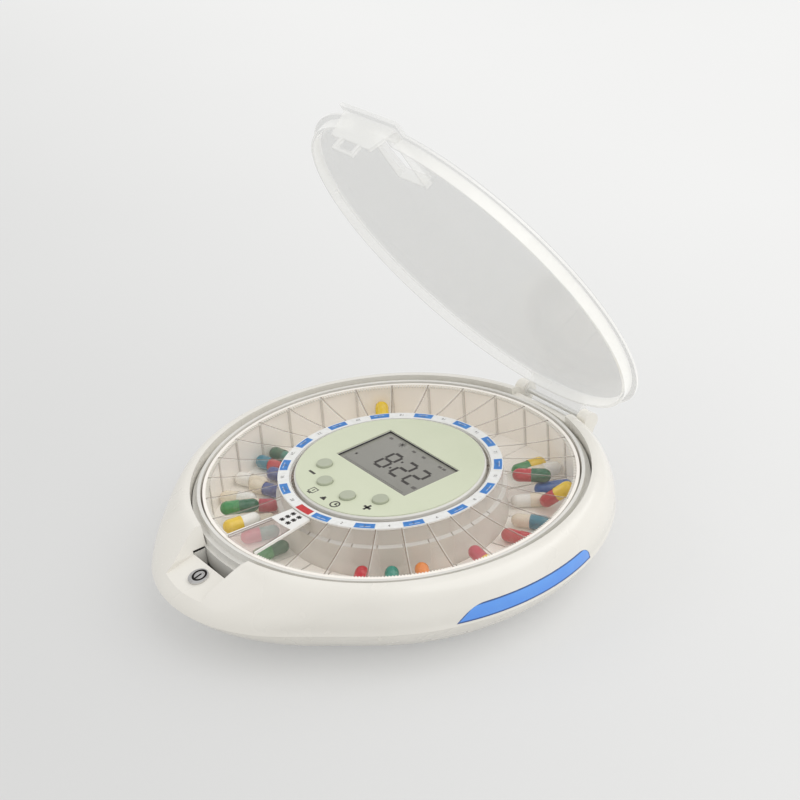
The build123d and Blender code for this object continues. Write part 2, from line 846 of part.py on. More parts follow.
with BuildPart() as tray_well:
    # Bowl, lip and floor.
    add(
        turned(
            (hub_radius - hub_wall, well_underside),
            (lip_outer_radius, well_underside),
            (lip_outer_radius, lip_height),
            (lip_inner_radius, lip_height),
            (lip_inner_radius, well_floor_top),
            (hub_radius, well_floor_top),
            (hub_radius, board_underside),
            (hub_radius - hub_wall - ledge_width, board_underside),
            (hub_radius - hub_wall - ledge_width, board_underside - hub_wall),
            (hub_radius - hub_wall, board_underside - hub_wall),
        )
    )
    add(ring(rail_radius - rail_width / 2, rail_radius + rail_width / 2, well_floor_top, rail_top))
    # Lid's seat, and the ledge and apron below it, which show in the front notch.
    add(
        turned(
            (lip_outer_radius - join_overlap, seat_height),
            (seat_radius, seat_height),
            (seat_radius, ledge_height),
            (ledge_radius, ledge_height),
            (ledge_radius, ledge_height - apron_height),
            (ledge_radius - well_wall, ledge_height - apron_height),
            (ledge_radius - well_wall, ledge_height - well_wall),
            (seat_radius - well_wall, ledge_height - well_wall),
            (seat_radius - well_wall, seat_height - well_wall),
            (lip_outer_radius - join_overlap, seat_height - well_wall),
        )
    )
    # Screw bosses that stand on the lower casing's pillars.
    with BuildSketch(Plane.XY.offset(pillar_top)):
        with PolarLocations(screw_circle, screw_count):
            Circle(pillar_radius)
    extrude(amount=well_underside - pillar_top + join_overlap)
    with BuildSketch(Plane.XY.offset(pillar_top)):
        with PolarLocations(screw_circle, screw_count):
            Circle(screw_radius + screw_thread_fit)
    extrude(amount=well_underside - pillar_top, mode=Mode.SUBTRACT)
    # Slot that the drive gear reaches the tray through.
    add(
        box(
            (-slot_half_width, drive_back - drive_pitch_radius, gear_plate_top),
            (slot_half_width, hub_radius + join_overlap, board_underside + cut_margin),
        ),
        mode=Mode.SUBTRACT,
    )
    # Holes for the board's screws.
    with BuildSketch(Plane.XY.offset(board_underside - board_screw_length)):
        with PolarLocations(board_screw_circle, 3, start_angle=-90.0):
            Circle(boss_radius)
    extrude(amount=board_screw_length)
    with BuildSketch(Plane.XY.offset(board_underside - board_screw_length + board_screw_spare)):
        with PolarLocations(board_screw_circle, 3, start_angle=-90.0):
            Circle(board_screw_radius + screw_thread_fit)
    extrude(amount=board_screw_length, mode=Mode.SUBTRACT)
save(tray_well.part, "tray_well")

with BuildPart() as case_screws:
    with BuildSketch(Plane.XY.offset(counterbore_top)):
        with PolarLocations(screw_circle, screw_count):
            Circle(screw_radius)
    extrude(amount=screw_length)
    with BuildSketch(Plane.XY.offset(counterbore_top)):
        with PolarLocations(screw_circle, screw_count):
            Circle(screw_head_radius)
    extrude(amount=-screw_head_height)
    with BuildSketch(Plane.XY.offset(counterbore_top - screw_head_height)):
        with PolarLocations(screw_circle, screw_count):
            Rectangle(screw_cross[0], screw_cross[1])
            Rectangle(screw_cross[1], screw_cross[0])
    extrude(amount=screw_cross[2], mode=Mode.SUBTRACT)
save(case_screws.part, "case_screws")

# ---------------------------------------------------------------- tray

save(ring(hub_radius + tray_bore_gap, tray_radius, tray_underside, tray_floor_top), "tray_floor")
save(ring(tray_radius - tray_wall, tray_radius, tray_floor_top, tray_top), "tray_outer_wall")

tray_inner_wall = turned(
    (lower_wall_radius - tray_wall, tray_floor_top),
    (lower_wall_radius, tray_floor_top),
    (lower_wall_radius, inner_step_height),
    (inner_wall_radius, inner_step_height + inner_step_slope),
    (inner_wall_radius, flange_underside),
    (inner_wall_radius + flange_lap, flange_underside),
    (inner_wall_radius + flange_lap, flange_top),
    (hub_radius + flange_gap, flange_top),
    (hub_radius + flange_gap, flange_underside),
    (inner_wall_radius - tray_wall, flange_underside),
    (inner_wall_radius - tray_wall, inner_step_height + inner_step_slope - tray_wall),
    (lower_wall_radius - tray_wall, inner_step_height - tray_wall),
)
save(tray_inner_wall, "tray_inner_wall")

# The dividers rise towards the ring, except the two beside the home place, which carry its cover.
divider_inner = inner_wall_radius + flange_lap + seat_fit
divider_outer = tray_radius - tray_wall - seat_fit
divider_crest = ring_top - divider_crest_drop
with BuildPart() as divider:
    with BuildSketch(Plane.XZ):
        with BuildLine():
            ThreePointArc(
                (divider_inner, divider_crest),
                ((divider_inner + divider_outer) / 2, divider_top + divider_sag),
                (divider_outer, divider_top),
            )
            Polyline(
                (divider_outer, divider_top),
                (divider_outer, tray_floor_top),
                (lower_wall_radius + seat_fit, tray_floor_top),
                (lower_wall_radius + seat_fit, inner_step_height),
                (inner_wall_radius + seat_fit, inner_step_height + inner_step_slope),
                (inner_wall_radius + seat_fit, divider_top),
                (divider_inner, divider_top),
                (divider_inner, divider_crest),
            )
        make_face()
    extrude(amount=divider_wall / 2, both=True)
with BuildPart() as home_divider:
    add(divider.part)
    add(ring(0, tray_radius, divider_top, ring_top), mode=Mode.SUBTRACT)
with BuildPart() as tray_dividers:
    for place in range(place_count):
        blade = home_divider.part if place in (0, place_count - 1) else divider.part
        add(blade.rotate(Axis.Z, home_angle + place_angle * (place + 0.5)))
save(tray_dividers.part, "tray_dividers")

save(
    ring(hub_radius + ring_label_gap, inner_wall_radius + flange_lap, flange_top, ring_top),
    "dosage_ring",
)


def sector(inner, outer, half_angle, low, high):
    """A piece of a ring about the middle of the home place."""
    across = cos(radians(half_angle))
    aside = sin(radians(half_angle))
    with BuildPart() as piece:
        with BuildSketch(Plane.XY.offset(low)):
            with BuildLine():
                ThreePointArc(
                    (inner * across, -inner * aside), (inner, 0), (inner * across, inner * aside)
                )
                Line((inner * across, inner * aside), (outer * across, outer * aside))
                ThreePointArc(
                    (outer * across, outer * aside), (outer, 0), (outer * across, -outer * aside)
                )
                Line((outer * across, -outer * aside), (inner * across, -inner * aside))
            make_face()
        extrude(amount=high - low)
    return piece.part.rotate(Axis.Z, home_angle)


cover_inner = inner_wall_radius + cover_gap
cover_outer = tray_radius - tray_wall - 2 * seat_fit
label_outer = cover_inner + label_length
label_half_angle = cover_half_angle - label_margin
save(sector(cover_inner, cover_outer, cover_half_angle, divider_top, cover_top), "sector_cover")
save(
    sector(cover_inner, label_outer, label_half_angle, cover_top, cover_top + label_wall),
    "cover_label",
)

# Ring of teeth that hangs from the tray's flange, with a gap between teeth at the drive gear.
with BuildPart() as tray_ring_gear:
    add(
        ring(
            ring_root_radius - tooth_bedding,
            ring_root_radius + ring_gear_wall,
            gear_foot - gear_play,
            flange_underside,
        )
    )
    with BuildSketch(Plane.XY.offset(gear_foot - gear_play)):
        with PolarLocations(0, ring_teeth, start_angle=90.0 + 180.0 / ring_teeth):
            Polygon(*tooth(ring_pitch_radius, -1), align=None)
    extrude(amount=gear_width + 2 * gear_play)
save(tray_ring_gear.part, "tray_ring_gear")

# ---------------------------------------------------------------- drive


def pin(radius, place, low, high, bore=0):
    """An upright pin or tube at an (x, y) place."""
    with BuildPart() as piece:
        with BuildSketch(Plane.XY.offset(low)):
            with Locations(place):
                Circle(radius)
                if bore:
                    Circle(bore, mode=Mode.SUBTRACT)
        extrude(amount=high - low)
    return piece.part


motor_place = (0, motor_back)
drive_place = (0, drive_back)
save(spur_gear(drive_back, drive_teeth, axle_radius + shaft_clearance, 90.0), "drive_gear")
pinion_turn = 90.0 + 180.0 / pinion_teeth
save(spur_gear(motor_back, pinion_teeth, axle_radius + seat_fit, pinion_turn), "motor_pinion")
save(pin(axle_radius, drive_place, gear_plate_foot, gear_top + axle_rise), "gear_axle")
save(pin(axle_radius, motor_place, gear_top - motor_shaft_length, gear_top), "motor_shaft")

with BuildPart() as drive_motor:
    add(pin(motor_radius, motor_place, motor_foot + seat_fit, gear_plate_foot - seat_fit))
    add(
        pin(
            axle_radius + shaft_clearance,
            motor_place,
            gear_top - motor_shaft_length - shaft_end_gap,
            gear_plate_foot,
        ),
        mode=Mode.SUBTRACT,
    )
    # Terminal block on the motor's side.
    with BuildSketch(Plane.XY.offset(motor_foot + terminal_rise)):
        with Locations((motor_radius, motor_back)):
            Rectangle(terminal_size[0], terminal_size[1])
    extrude(amount=terminal_size[2])
save(drive_motor.part, "drive_motor")

with BuildPart() as gearbox_plate:
    with BuildSketch(Plane.XY.offset(gear_plate_foot)):
        with Locations((0, (motor_back + drive_back) / 2)):
            RectangleRounded(
                2 * plate_half_width, drive_back - motor_back + 2 * plate_margin, plate_corner
            )
        with Locations(motor_place):
            RectangleRounded(
                2 * (plate_post_side + plate_post_radius), 3 * plate_post_radius, plate_corner
            )
            Circle(axle_radius + running_gap, mode=Mode.SUBTRACT)
        with Locations(drive_place):
            Circle(axle_radius + plate_fit, mode=Mode.SUBTRACT)
        with Locations((-plate_post_side, motor_back), (plate_post_side, motor_back)):
            Circle(board_screw_radius + plate_fit, mode=Mode.SUBTRACT)
    extrude(amount=plate_wall)
save(gearbox_plate.part, "gearbox_plate")

# ---------------------------------------------------------------- electronics

lcd_edge_width = lcd_width + 2 * lcd_border
lcd_edge_height = lcd_height + 2 * lcd_border

with BuildPart() as main_pcb:
    with BuildSketch(Plane.XY.offset(board_underside)):
        Circle(board_radius)
        with PolarLocations(board_screw_circle, 3, start_angle=-90.0):
            Circle(board_screw_radius + screw_hole_clearance, mode=Mode.SUBTRACT)
    extrude(amount=board_wall)
save(main_pcb.part, "main_pcb")

with BuildPart() as pcb_screws:
    with BuildSketch(Plane.XY.offset(board_top)):
        with PolarLocations(board_screw_circle, 3, start_angle=-90.0):
            Circle(board_screw_head)
    extrude(amount=board_screw_head_height)
    with BuildSketch(Plane.XY.offset(board_top)):
        with PolarLocations(board_screw_circle, 3, start_angle=-90.0):
            Circle(board_screw_radius)
    extrude(amount=-board_screw_length)
    with BuildSketch(Plane.XY.offset(board_top + board_screw_head_height)):
        with PolarLocations(board_screw_circle, 3, start_angle=-90.0):
            Rectangle(board_screw_cross[0], board_screw_cross[1])
            Rectangle(board_screw_cross[1], board_screw_cross[0])
    extrude(amount=-board_screw_cross[2], mode=Mode.SUBTRACT)
save(pcb_screws.part, "pcb_screws")

with BuildPart() as button_switches:
    for place in button_places.values():
        with BuildSketch(Plane.XY.offset(board_top)):
            with Locations(place):
                Rectangle(switch_side, switch_side)
        extrude(amount=switch_height)
        with BuildSketch(Plane.XY.offset(board_top + switch_height)):
            with Locations(place):
                Circle(plunger_radius)
        extrude(amount=plunger_height)
save(button_switches.part, "button_switches")

save(pin(buzzer_radius, buzzer_place, board_top, board_top + buzzer_height, buzzer_bore), "buzzer")

with BuildPart() as lcd_panel:
    with BuildSketch(Plane.XY.offset(lcd_top - lcd_wall)):
        with Locations((0, lcd_centre)):
            Rectangle(lcd_edge_width, lcd_edge_height)
    extrude(amount=lcd_wall)
save(lcd_panel.part, "lcd_panel")

# Elastic strips that carry the display's signals up from the board.
with BuildPart() as lcd_connector:
    with BuildSketch(Plane.XY.offset(board_top)):
        with Locations((0, lcd_centre + lcd_height / 2), (0, lcd_centre - lcd_height / 2)):
            Rectangle(lcd_width - 2 * lcd_border, lcd_strip_width)
    extrude(amount=lcd_top - lcd_wall - board_top)
save(lcd_connector.part, "lcd_connector")

with BuildPart() as display_housing:
    add(
        turned(
            (housing_radius - housing_wall, board_underside + seat_fit),
            (housing_radius, board_underside + seat_fit),
            (housing_radius, plate_top - housing_bevel),
            (housing_radius - housing_bevel, plate_top),
            (0, plate_top),
            (0, plate_underside),
            (housing_radius - housing_wall, plate_underside),
        )
    )
    with BuildSketch(Plane.XY.offset(plate_underside)):
        with Locations((0, lcd_centre)):
            Rectangle(lcd_edge_width + 2 * seat_fit, lcd_edge_height + 2 * seat_fit)
    extrude(amount=lcd_top - plate_underside, mode=Mode.SUBTRACT)
    with BuildSketch(Plane.XY.offset(plate_underside)):
        with Locations((0, lcd_centre)):
            Rectangle(lcd_width, lcd_height)
        with Locations(*button_places.values()):
            Circle(button_radius + button_side_gap)
    extrude(amount=housing_plate, mode=Mode.SUBTRACT)
save(display_housing.part, "display_housing")

with BuildPart() as display_fascia:
    with BuildSketch(Plane.XY.offset(plate_top)):
        Circle(fascia_radius)
        with Locations((0, lcd_centre)):
            Rectangle(lcd_width, lcd_height, mode=Mode.SUBTRACT)
        with Locations(*button_places.values()):
            Circle(button_radius + button_side_gap, mode=Mode.SUBTRACT)
    extrude(amount=fascia_wall)
save(display_fascia.part, "display_fascia")

for name, place in button_places.items():
    with BuildPart() as button:
        with BuildSketch(Plane.XY.offset(button_foot)):
            with Locations(place):
                Circle(button_radius)
        extrude(amount=button_top - button_foot)
        fillet(button.edges().group_by(Axis.Z)[-1], radius=button_rounding)
        with BuildSketch(Plane.XY.offset(button_foot)):
            with Locations(place):
                Circle(button_flange_radius)
        extrude(amount=button_flange_wall)
    save(button.part, name)

# Light boards: a strip with four light sources that face the window.
led_middle_height = led_board_foot + led_board_height / 2 + led_offset
for side, name in ((1, "led_board_right"), (-1, "led_board_left")):
    face_x = side * (led_board_back + led_board_wall)
    with BuildPart() as led_board:
        with BuildSketch(Plane.YZ.offset(side * led_board_back)):
            with Locations((0, led_board_foot + led_board_height / 2)):
                Rectangle(led_board_length, led_board_height)
        extrude(amount=side * led_board_wall)
        with BuildSketch(Plane.YZ.offset(face_x)):
            with Locations((0, led_middle_height)):
                with GridLocations(led_pitch, 0, led_count, 1):
                    Rectangle(led_side, led_side)
        extrude(amount=side * led_height)
    save(led_board.part, name)

# ---------------------------------------------------------------- lid and hinge

lid_centre_top = lid_edge_top + lid_crown
dome_edge = lid_radius - lid_edge_bevel[0]


def dome_points(radius, centre, edge):
    """Control points of a dome's section, from its centre out to its edge."""
    return (0, centre), (radius / 2, centre), (radius, edge)


with BuildPart() as lid_envelope:
    with BuildSketch(lid_section):
        with BuildLine():
            Bezier(*dome_points(dome_edge, lid_centre_top, lid_edge_top))
            Polyline(
                (dome_edge, lid_edge_top), (dome_edge, skirt_foot), (0, skirt_foot), (0, lid_centre_top)
            )
        make_face()
    revolve(axis=lid_axis)

# Mouth that the doses fall out of, as far up as the dome's outer surface.
with BuildPart() as lid_mouth:
    with BuildSketch(lid_plane(cover_top + mouth_gap)):
        with Locations((0, -(mouth_inner + mouth_outer) / 2)):
            Rectangle(2 * (mouth_half_width + mouth_wall), mouth_outer - mouth_inner + 2 * mouth_wall)
    extrude(amount=lid_centre_top - cover_top)
    add(lid_envelope.part, mode=Mode.INTERSECT)

with BuildPart() as clear_lid:
    with BuildSketch(lid_section):
        with BuildLine():
            Bezier(*dome_points(dome_edge, lid_centre_top, lid_edge_top))
            Polyline(
                (dome_edge, lid_edge_top),
                (lid_radius, lid_edge_top - lid_edge_bevel[1]),
                (lid_radius, lid_edge_height),
                (skirt_outer_radius, lid_edge_height),
                (skirt_outer_radius, skirt_foot),
                (skirt_inner_radius, skirt_foot),
                (skirt_inner_radius, lid_edge_height),
            )
            Bezier(*dome_points(skirt_inner_radius, lid_centre_top - lid_wall, lid_edge_height))
            Line((0, lid_centre_top - lid_wall), (0, lid_centre_top))
        make_face()
    revolve(axis=lid_axis)
    # Front edge of the lid over the notch.
    with BuildSketch(lid_plane(lid_edge_height)):
        with Locations((0, -(lid_nose + lid_radius - nose_overlap) / 2)):
            Rectangle(2 * (tongue_half_width + nose_margin), lid_nose - lid_radius + nose_overlap)
    extrude(amount=lid_wall)
    # Hood that closes the notch: a tongue and two side walls that follow the notch's sides.
    with BuildSketch(lid_section.offset(tongue_face - hood_depth)):
        Polygon(
            (-tongue_half_width, lid_edge_height + join_overlap),
            (tongue_half_width, lid_edge_height + join_overlap),
            (hood_foot_half_width, skirt_foot),
            (-hood_foot_half_width, skirt_foot),
            align=None,
        )
    extrude(amount=hood_depth + tongue_wall)
    with BuildSketch(lid_section.offset(tongue_face - hood_depth)):
        Polygon(
            (-tongue_half_width + lid_skirt_wall, lid_edge_height),
            (tongue_half_width - lid_skirt_wall, lid_edge_height),
            (hood_foot_half_width - lid_skirt_wall, skirt_foot),
            (lid_skirt_wall - hood_foot_half_width, skirt_foot),
            align=None,
        )
    extrude(amount=hood_depth, mode=Mode.SUBTRACT)
    with BuildSketch(lid_section.offset(tongue_face)):
        Polygon(
            (-hood_foot_half_width, skirt_foot),
            (hood_foot_half_width, skirt_foot),
            (tongue_foot_half_width, tongue_foot),
            (hook_half_width, tongue_foot),
            (hook_half_width, hook_foot),
            (-hook_half_width, hook_foot),
            (-hook_half_width, tongue_foot),
            (-tongue_foot_half_width, tongue_foot),
            align=None,
        )
        with Locations((0, (hook_window_foot + hook_window_head) / 2)):
            Rectangle(2 * hook_window_half_width, hook_window_head - hook_window_foot, mode=Mode.SUBTRACT)
    extrude(amount=tongue_wall)
    add(lid_mouth.part)
    with BuildSketch(lid_plane(cover_top)):
        with Locations((0, -(mouth_inner + mouth_outer) / 2)):
            Rectangle(2 * mouth_half_width, mouth_outer - mouth_inner)
    extrude(amount=lid_centre_top - cover_top + cut_margin, mode=Mode.SUBTRACT)
    # Hinge tab and knuckle.
    with BuildSketch(lid_side.offset(-knuckle_half_length)):
        with Locations((hinge_back, hinge_height)):
            Circle(knuckle_radius)
        Polygon(
            (lid_radius - tab_overlap, lid_edge_height),
            (lid_radius - tab_overlap, lid_edge_top - tab_step),
            (lid_radius + tab_bend, lid_edge_top - tab_step),
            (hinge_back + tab_outer[0], hinge_height + tab_outer[1]),
            (hinge_back - tab_inner[0], hinge_height - tab_inner[1]),
            (lid_radius + tab_bend - tab_slant, lid_edge_height),
            align=None,
        )
        with Locations((hinge_back, hinge_height)):
            Circle(hinge_pin_radius + pin_clearance, mode=Mode.SUBTRACT)
    extrude(amount=2 * knuckle_half_length)
save(clear_lid.part, "clear_lid")

with BuildPart() as hinge_pin:
    with BuildSketch(Plane.YZ):
        with Locations((hinge_back, hinge_height)):
            Circle(hinge_pin_radius)
    extrude(amount=hinge_pin_half_length, both=True)
save(hinge_pin.part, "hinge_pin")

# ---------------------------------------------------------------- lock

with BuildPart() as lock_barrel:
    with BuildSketch(lock_plane):
        Circle(lock_flange_radius)
    extrude(amount=lock_flange_wall)
    with BuildSketch(lock_plane):
        Circle(lock_barrel_radius)
    extrude(amount=-lock_depth)
    with BuildSketch(lock_plane.offset(-lock_depth)):
        Circle(lock_plug_radius + lock_clearance)
    extrude(amount=lock_depth + lock_flange_wall, mode=Mode.SUBTRACT)
save(lock_barrel.part, "lock_barrel")

cam_head = -lock_depth - lock_clearance
with BuildPart() as lock_plug:
    with BuildSketch(lock_plane.offset(cam_head)):
        Circle(lock_plug_radius)
    extrude(amount=lock_flange_wall - cam_head)
    with BuildSketch(lock_plane.offset(cam_head)):
        Rectangle(cam_square, cam_square)
    extrude(amount=-cam_wall)
    with BuildSketch(lock_plane.offset(lock_flange_wall)):
        Rectangle(keyway_width, keyway_length)
    extrude(amount=-keyway_depth, mode=Mode.SUBTRACT)
save(lock_plug.part, "lock_plug")

with BuildPart() as lock_cam:
    with BuildSketch(lock_plane.offset(cam_head - seat_fit)):
        Circle(cam_half_width + cam_shoulder)
        with Locations(((cam_reach - cam_half_width) / 2, 0)):
            Rectangle(cam_reach - cam_half_width, 2 * cam_half_width)
        with Locations((cam_reach - cam_half_width, 0)):
            Circle(cam_half_width)
        Rectangle(cam_square + 2 * seat_fit, cam_square + 2 * seat_fit, mode=Mode.SUBTRACT)
    extrude(amount=seat_fit - cam_wall)
save(lock_cam.part, "lock_cam")

with BuildPart() as lock_nut:
    with BuildSketch(lock_plane.offset(-shelf_wall - seat_fit)):
        RegularPolygon(nut_radius, 6)
        Circle(lock_barrel_radius + screw_thread_fit, mode=Mode.SUBTRACT)
    extrude(amount=-nut_wall)
save(lock_nut.part, "lock_nut")
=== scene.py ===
# %% [markdown]
# # A pill dispenser with its lid open
#
# This lesson dresses a machine that was drawn in CAD. The packed model gives every rigid piece in
# its true place, in metres: Z is up, -Y is the side of the person who uses it. The script adds
# what CAD leaves out, which is print, ticks, capsules and two thin linings, and gives every piece
# a finish.

# %% Load the packed model
import json
from math import cos, degrees, pi, radians, sin, tau

import bmesh
import bpy
from mathutils import Matrix, Vector


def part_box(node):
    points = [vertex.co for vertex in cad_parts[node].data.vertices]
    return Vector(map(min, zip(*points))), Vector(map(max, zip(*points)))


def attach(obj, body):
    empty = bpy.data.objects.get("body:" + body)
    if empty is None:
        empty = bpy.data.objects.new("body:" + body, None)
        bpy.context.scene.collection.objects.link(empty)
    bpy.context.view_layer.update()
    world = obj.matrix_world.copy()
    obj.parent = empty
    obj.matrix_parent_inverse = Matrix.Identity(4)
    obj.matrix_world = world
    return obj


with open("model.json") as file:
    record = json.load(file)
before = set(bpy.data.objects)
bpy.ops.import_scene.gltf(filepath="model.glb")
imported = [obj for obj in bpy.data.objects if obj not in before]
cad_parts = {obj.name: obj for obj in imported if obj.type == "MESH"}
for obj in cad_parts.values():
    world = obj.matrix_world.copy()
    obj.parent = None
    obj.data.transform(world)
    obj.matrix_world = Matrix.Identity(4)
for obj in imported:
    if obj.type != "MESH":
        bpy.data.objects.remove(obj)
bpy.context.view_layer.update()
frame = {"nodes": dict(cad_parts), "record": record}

MM = 0.001
nodes = frame["nodes"]

# %% [markdown]
# ## Writing shader maths as Python
#
# A material is a graph of nodes. Placing Math nodes by hand hides the formula, so a small class
# wraps a socket and overloads the operators. The expression `1 - mask * 0.5` then adds its own
# nodes. A second class looks after one tree and adds any other kind of node with one method.


# %% Wires and benches
class Wire:
    """A socket's output that can be used in Python expressions."""

    def __init__(self, bench, socket):
        self.bench = bench
        self.socket = socket

    def math(self, operation, *others):
        return self.bench.math(operation, self, *others)

    def __add__(self, other):
        return self.math("ADD", other)

    def __sub__(self, other):
        return self.math("SUBTRACT", other)

    def __rsub__(self, other):
        return self.bench.math("SUBTRACT", other, self)

    def __mul__(self, other):
        return self.math("MULTIPLY", other)

    def __truediv__(self, other):
        return self.math("DIVIDE", other)

    def __rtruediv__(self, other):
        return self.bench.math("DIVIDE", other, self)

    def __mod__(self, other):
        return self.math("FLOORED_MODULO", other)

    def __lt__(self, other):
        return self.math("LESS_THAN", other)

    def __gt__(self, other):
        return self.math("GREATER_THAN", other)

    __radd__ = __add__
    __rmul__ = __mul__

    def smooth(self, low, high):
        """0 below low, 1 above high, and a soft step between them."""
        values = {"Value": self, "From Min": low, "From Max": high}
        return self.bench.node("ShaderNodeMapRange", {"interpolation_type": "SMOOTHSTEP"}, values)

    def tint(self, first, second):
        """A colour that goes from first to second as this wire goes from 0 to 1."""
        values = {"Factor": self, 6: first, 7: second}
        return self.bench.node("ShaderNodeMix", {"data_type": "RGBA"}, values, output=2)


class Bench:
    """Lays out the nodes of one tree."""

    def __init__(self, tree):
        self.tree = tree

    def node(self, kind, settings=None, values=None, output=0):
        """Adds any node: its settings first, then the values or links of its sockets."""
        made = self.tree.nodes.new(kind)
        for name, value in (settings or {}).items():
            setattr(made, name, value)
        for key, value in (values or {}).items():
            if isinstance(value, Wire):
                self.tree.links.new(value.socket, made.inputs[key])
            else:
                made.inputs[key].default_value = value
        return Wire(self, made.outputs[output]) if made.outputs else None

    def math(self, operation, *values):
        return self.node("ShaderNodeMath", {"operation": operation}, dict(enumerate(values)))

    def axis(self, vector, name):
        return self.node("ShaderNodeSeparateXYZ", None, {0: vector}, output=name)

    def vector(self, **axes):
        return self.node("ShaderNodeCombineXYZ", None, axes)

    def place(self):
        """A point on the piece, in metres: the vector, and its x, y and z."""
        spot = self.node("ShaderNodeTexCoord", output="Object")
        return spot, [self.axis(spot, name) for name in "XYZ"]

    def polar(self, axes):
        """Angle and radius of a point about the tray's axis."""
        angle = self.math("ARCTAN2", axes[1], axes[0])
        return angle, self.math("SQRT", axes[0] * axes[0] + axes[1] * axes[1])

    def faces_up(self):
        """1 on faces that point upwards. The tray turns on an upright axis, so they stay so."""
        normal = self.node("ShaderNodeNewGeometry", output="Normal")
        return self.axis(normal, "Z").smooth(0.5, 0.8)

    def noise(self, spot, scale, detail=2.0):
        return self.node("ShaderNodeTexNoise", None, {"Vector": spot, "Scale": scale, "Detail": detail})

    def stretched(self, spot, scale):
        """The same pattern space, stretched along its axes."""
        return self.node("ShaderNodeMapping", None, {"Vector": spot, "Scale": scale})

    def bump(self, height, depth):
        return self.node("ShaderNodeBump", None, {"Height": height, "Distance": depth, "Strength": 1.0})


print("a wire can:", [name.strip("_") for name, value in vars(Wire).items() if callable(value)])

# %% [markdown]
# ## Colours
#
# A paint shop gives a colour as the eye sees it, on a scale of 0 to 255. Blender's sockets want
# the amount of light. The conversion is done once, here, so that each finish below can be written
# in the numbers that a colour picker shows.


# %% Paint
def paint(red, green, blue):
    """A colour from display values of 0 to 255."""
    light = []
    for value in (red, green, blue):
        share = value / 255
        light.append(share / 12.92 if share <= 0.04045 else ((share + 0.055) / 1.055) ** 2.4)
    return (*light, 1.0)


IVORY = paint(242, 239, 231)
IVORY_SHADE = paint(236, 232, 223)
print("ivory:", [round(value, 3) for value in IVORY])

# %% [markdown]
# ## A shader to hang finishes on
#
# Nearly every finish here is one Principled shader. The helper makes the material, connects the
# shader to the output and gives the wires that vary to their sockets. Values that are the same
# all over are set on the shader itself.


# %% Surfaces
def finish(name):
    """A new material with an empty tree, and the bench for it."""
    material = bpy.data.materials.new(name)
    material.use_nodes = True
    material.node_tree.nodes.clear()
    return material, Bench(material.node_tree)


def close_finish(material, bench, sockets):
    """Adds the Principled shader and the output, and gives the material."""
    surface = bench.node("ShaderNodeBsdfPrincipled", None, sockets)
    bench.node("ShaderNodeOutputMaterial", None, {"Surface": surface})
    return material


def moulded(name, colour, shade, roughness, grain=1600.0, depth=0.00001, coat=0.0):
    """Moulded plastic: faint flow marks in the colour and a fine skin texture."""
    material, bench = finish(name)
    spot, _ = bench.place()
    flow = bench.noise(spot, 26.0, 4.0).smooth(0.3, 0.75)
    dust = bench.noise(spot, 700.0, 2.0).smooth(0.66, 0.78)
    skin = bench.noise(spot, grain, 2.0)
    sockets = {
        "Base Color": (flow * 0.7 + dust * 0.3).tint(colour, shade),
        "Roughness": flow * 0.08 + dust * 0.05 + roughness,
        "Normal": bench.bump(skin, depth),
        "Coat Weight": coat,
        "Coat Roughness": 0.06,
    }
    return close_finish(material, bench, sockets)


shell_white = moulded("shell_white", IVORY, IVORY_SHADE, 0.22, 900.0, 0.000004, 0.25)
inner_white = moulded("inner_white", paint(234, 232, 226), paint(222, 220, 214), 0.34, 1500.0, 0.00001)
key_rubber = moulded("key_rubber", paint(186, 191, 170), paint(176, 181, 160), 0.48, 2600.0, 0.00001)
black_plastic = moulded("black_plastic", paint(38, 38, 40), paint(50, 50, 53), 0.5)
rubber = moulded("rubber", paint(58, 58, 60), paint(72, 72, 74), 0.8, 3200.0, 0.00003)
gear_nylon = moulded("gear_nylon", paint(232, 226, 206), paint(221, 214, 192), 0.42, 1200.0)
moulded_finishes = (shell_white, inner_white, key_rubber, black_plastic, rubber, gear_nylon)
print("moulded finishes:", [material.name for material in moulded_finishes])

# %% [markdown]
# ## Clear plastic
#
# Real clear plastic is mostly see-through, and its surface shows only where it turns away from
# the eye or is cut. Tracing glass through dozens of thin walls is slow and dark, so the finish here
# lets light straight through with a low alpha. The alpha rises at glancing angles, with the
# Layer Weight node, and along cut edges. At glancing angles the colour turns white, a painted
# reflection, and the edges carry painted highlights, painted shade and a painted glow. A ray
# crosses many walls of the tray, so the number of clear surfaces that it may pass is raised from
# eight, where the tray would go dark.


# %% Clear mouldings
CLEAR_BOUNCES = 24
PAINTED_EDGE_SHADE = paint(126, 110, 94)
PAINTED_EDGE_LIGHT = paint(252, 251, 247)
NO_LIGHT = paint(0, 0, 0)
PAINTED_GLANCING_REFLECTION = paint(251, 251, 249)


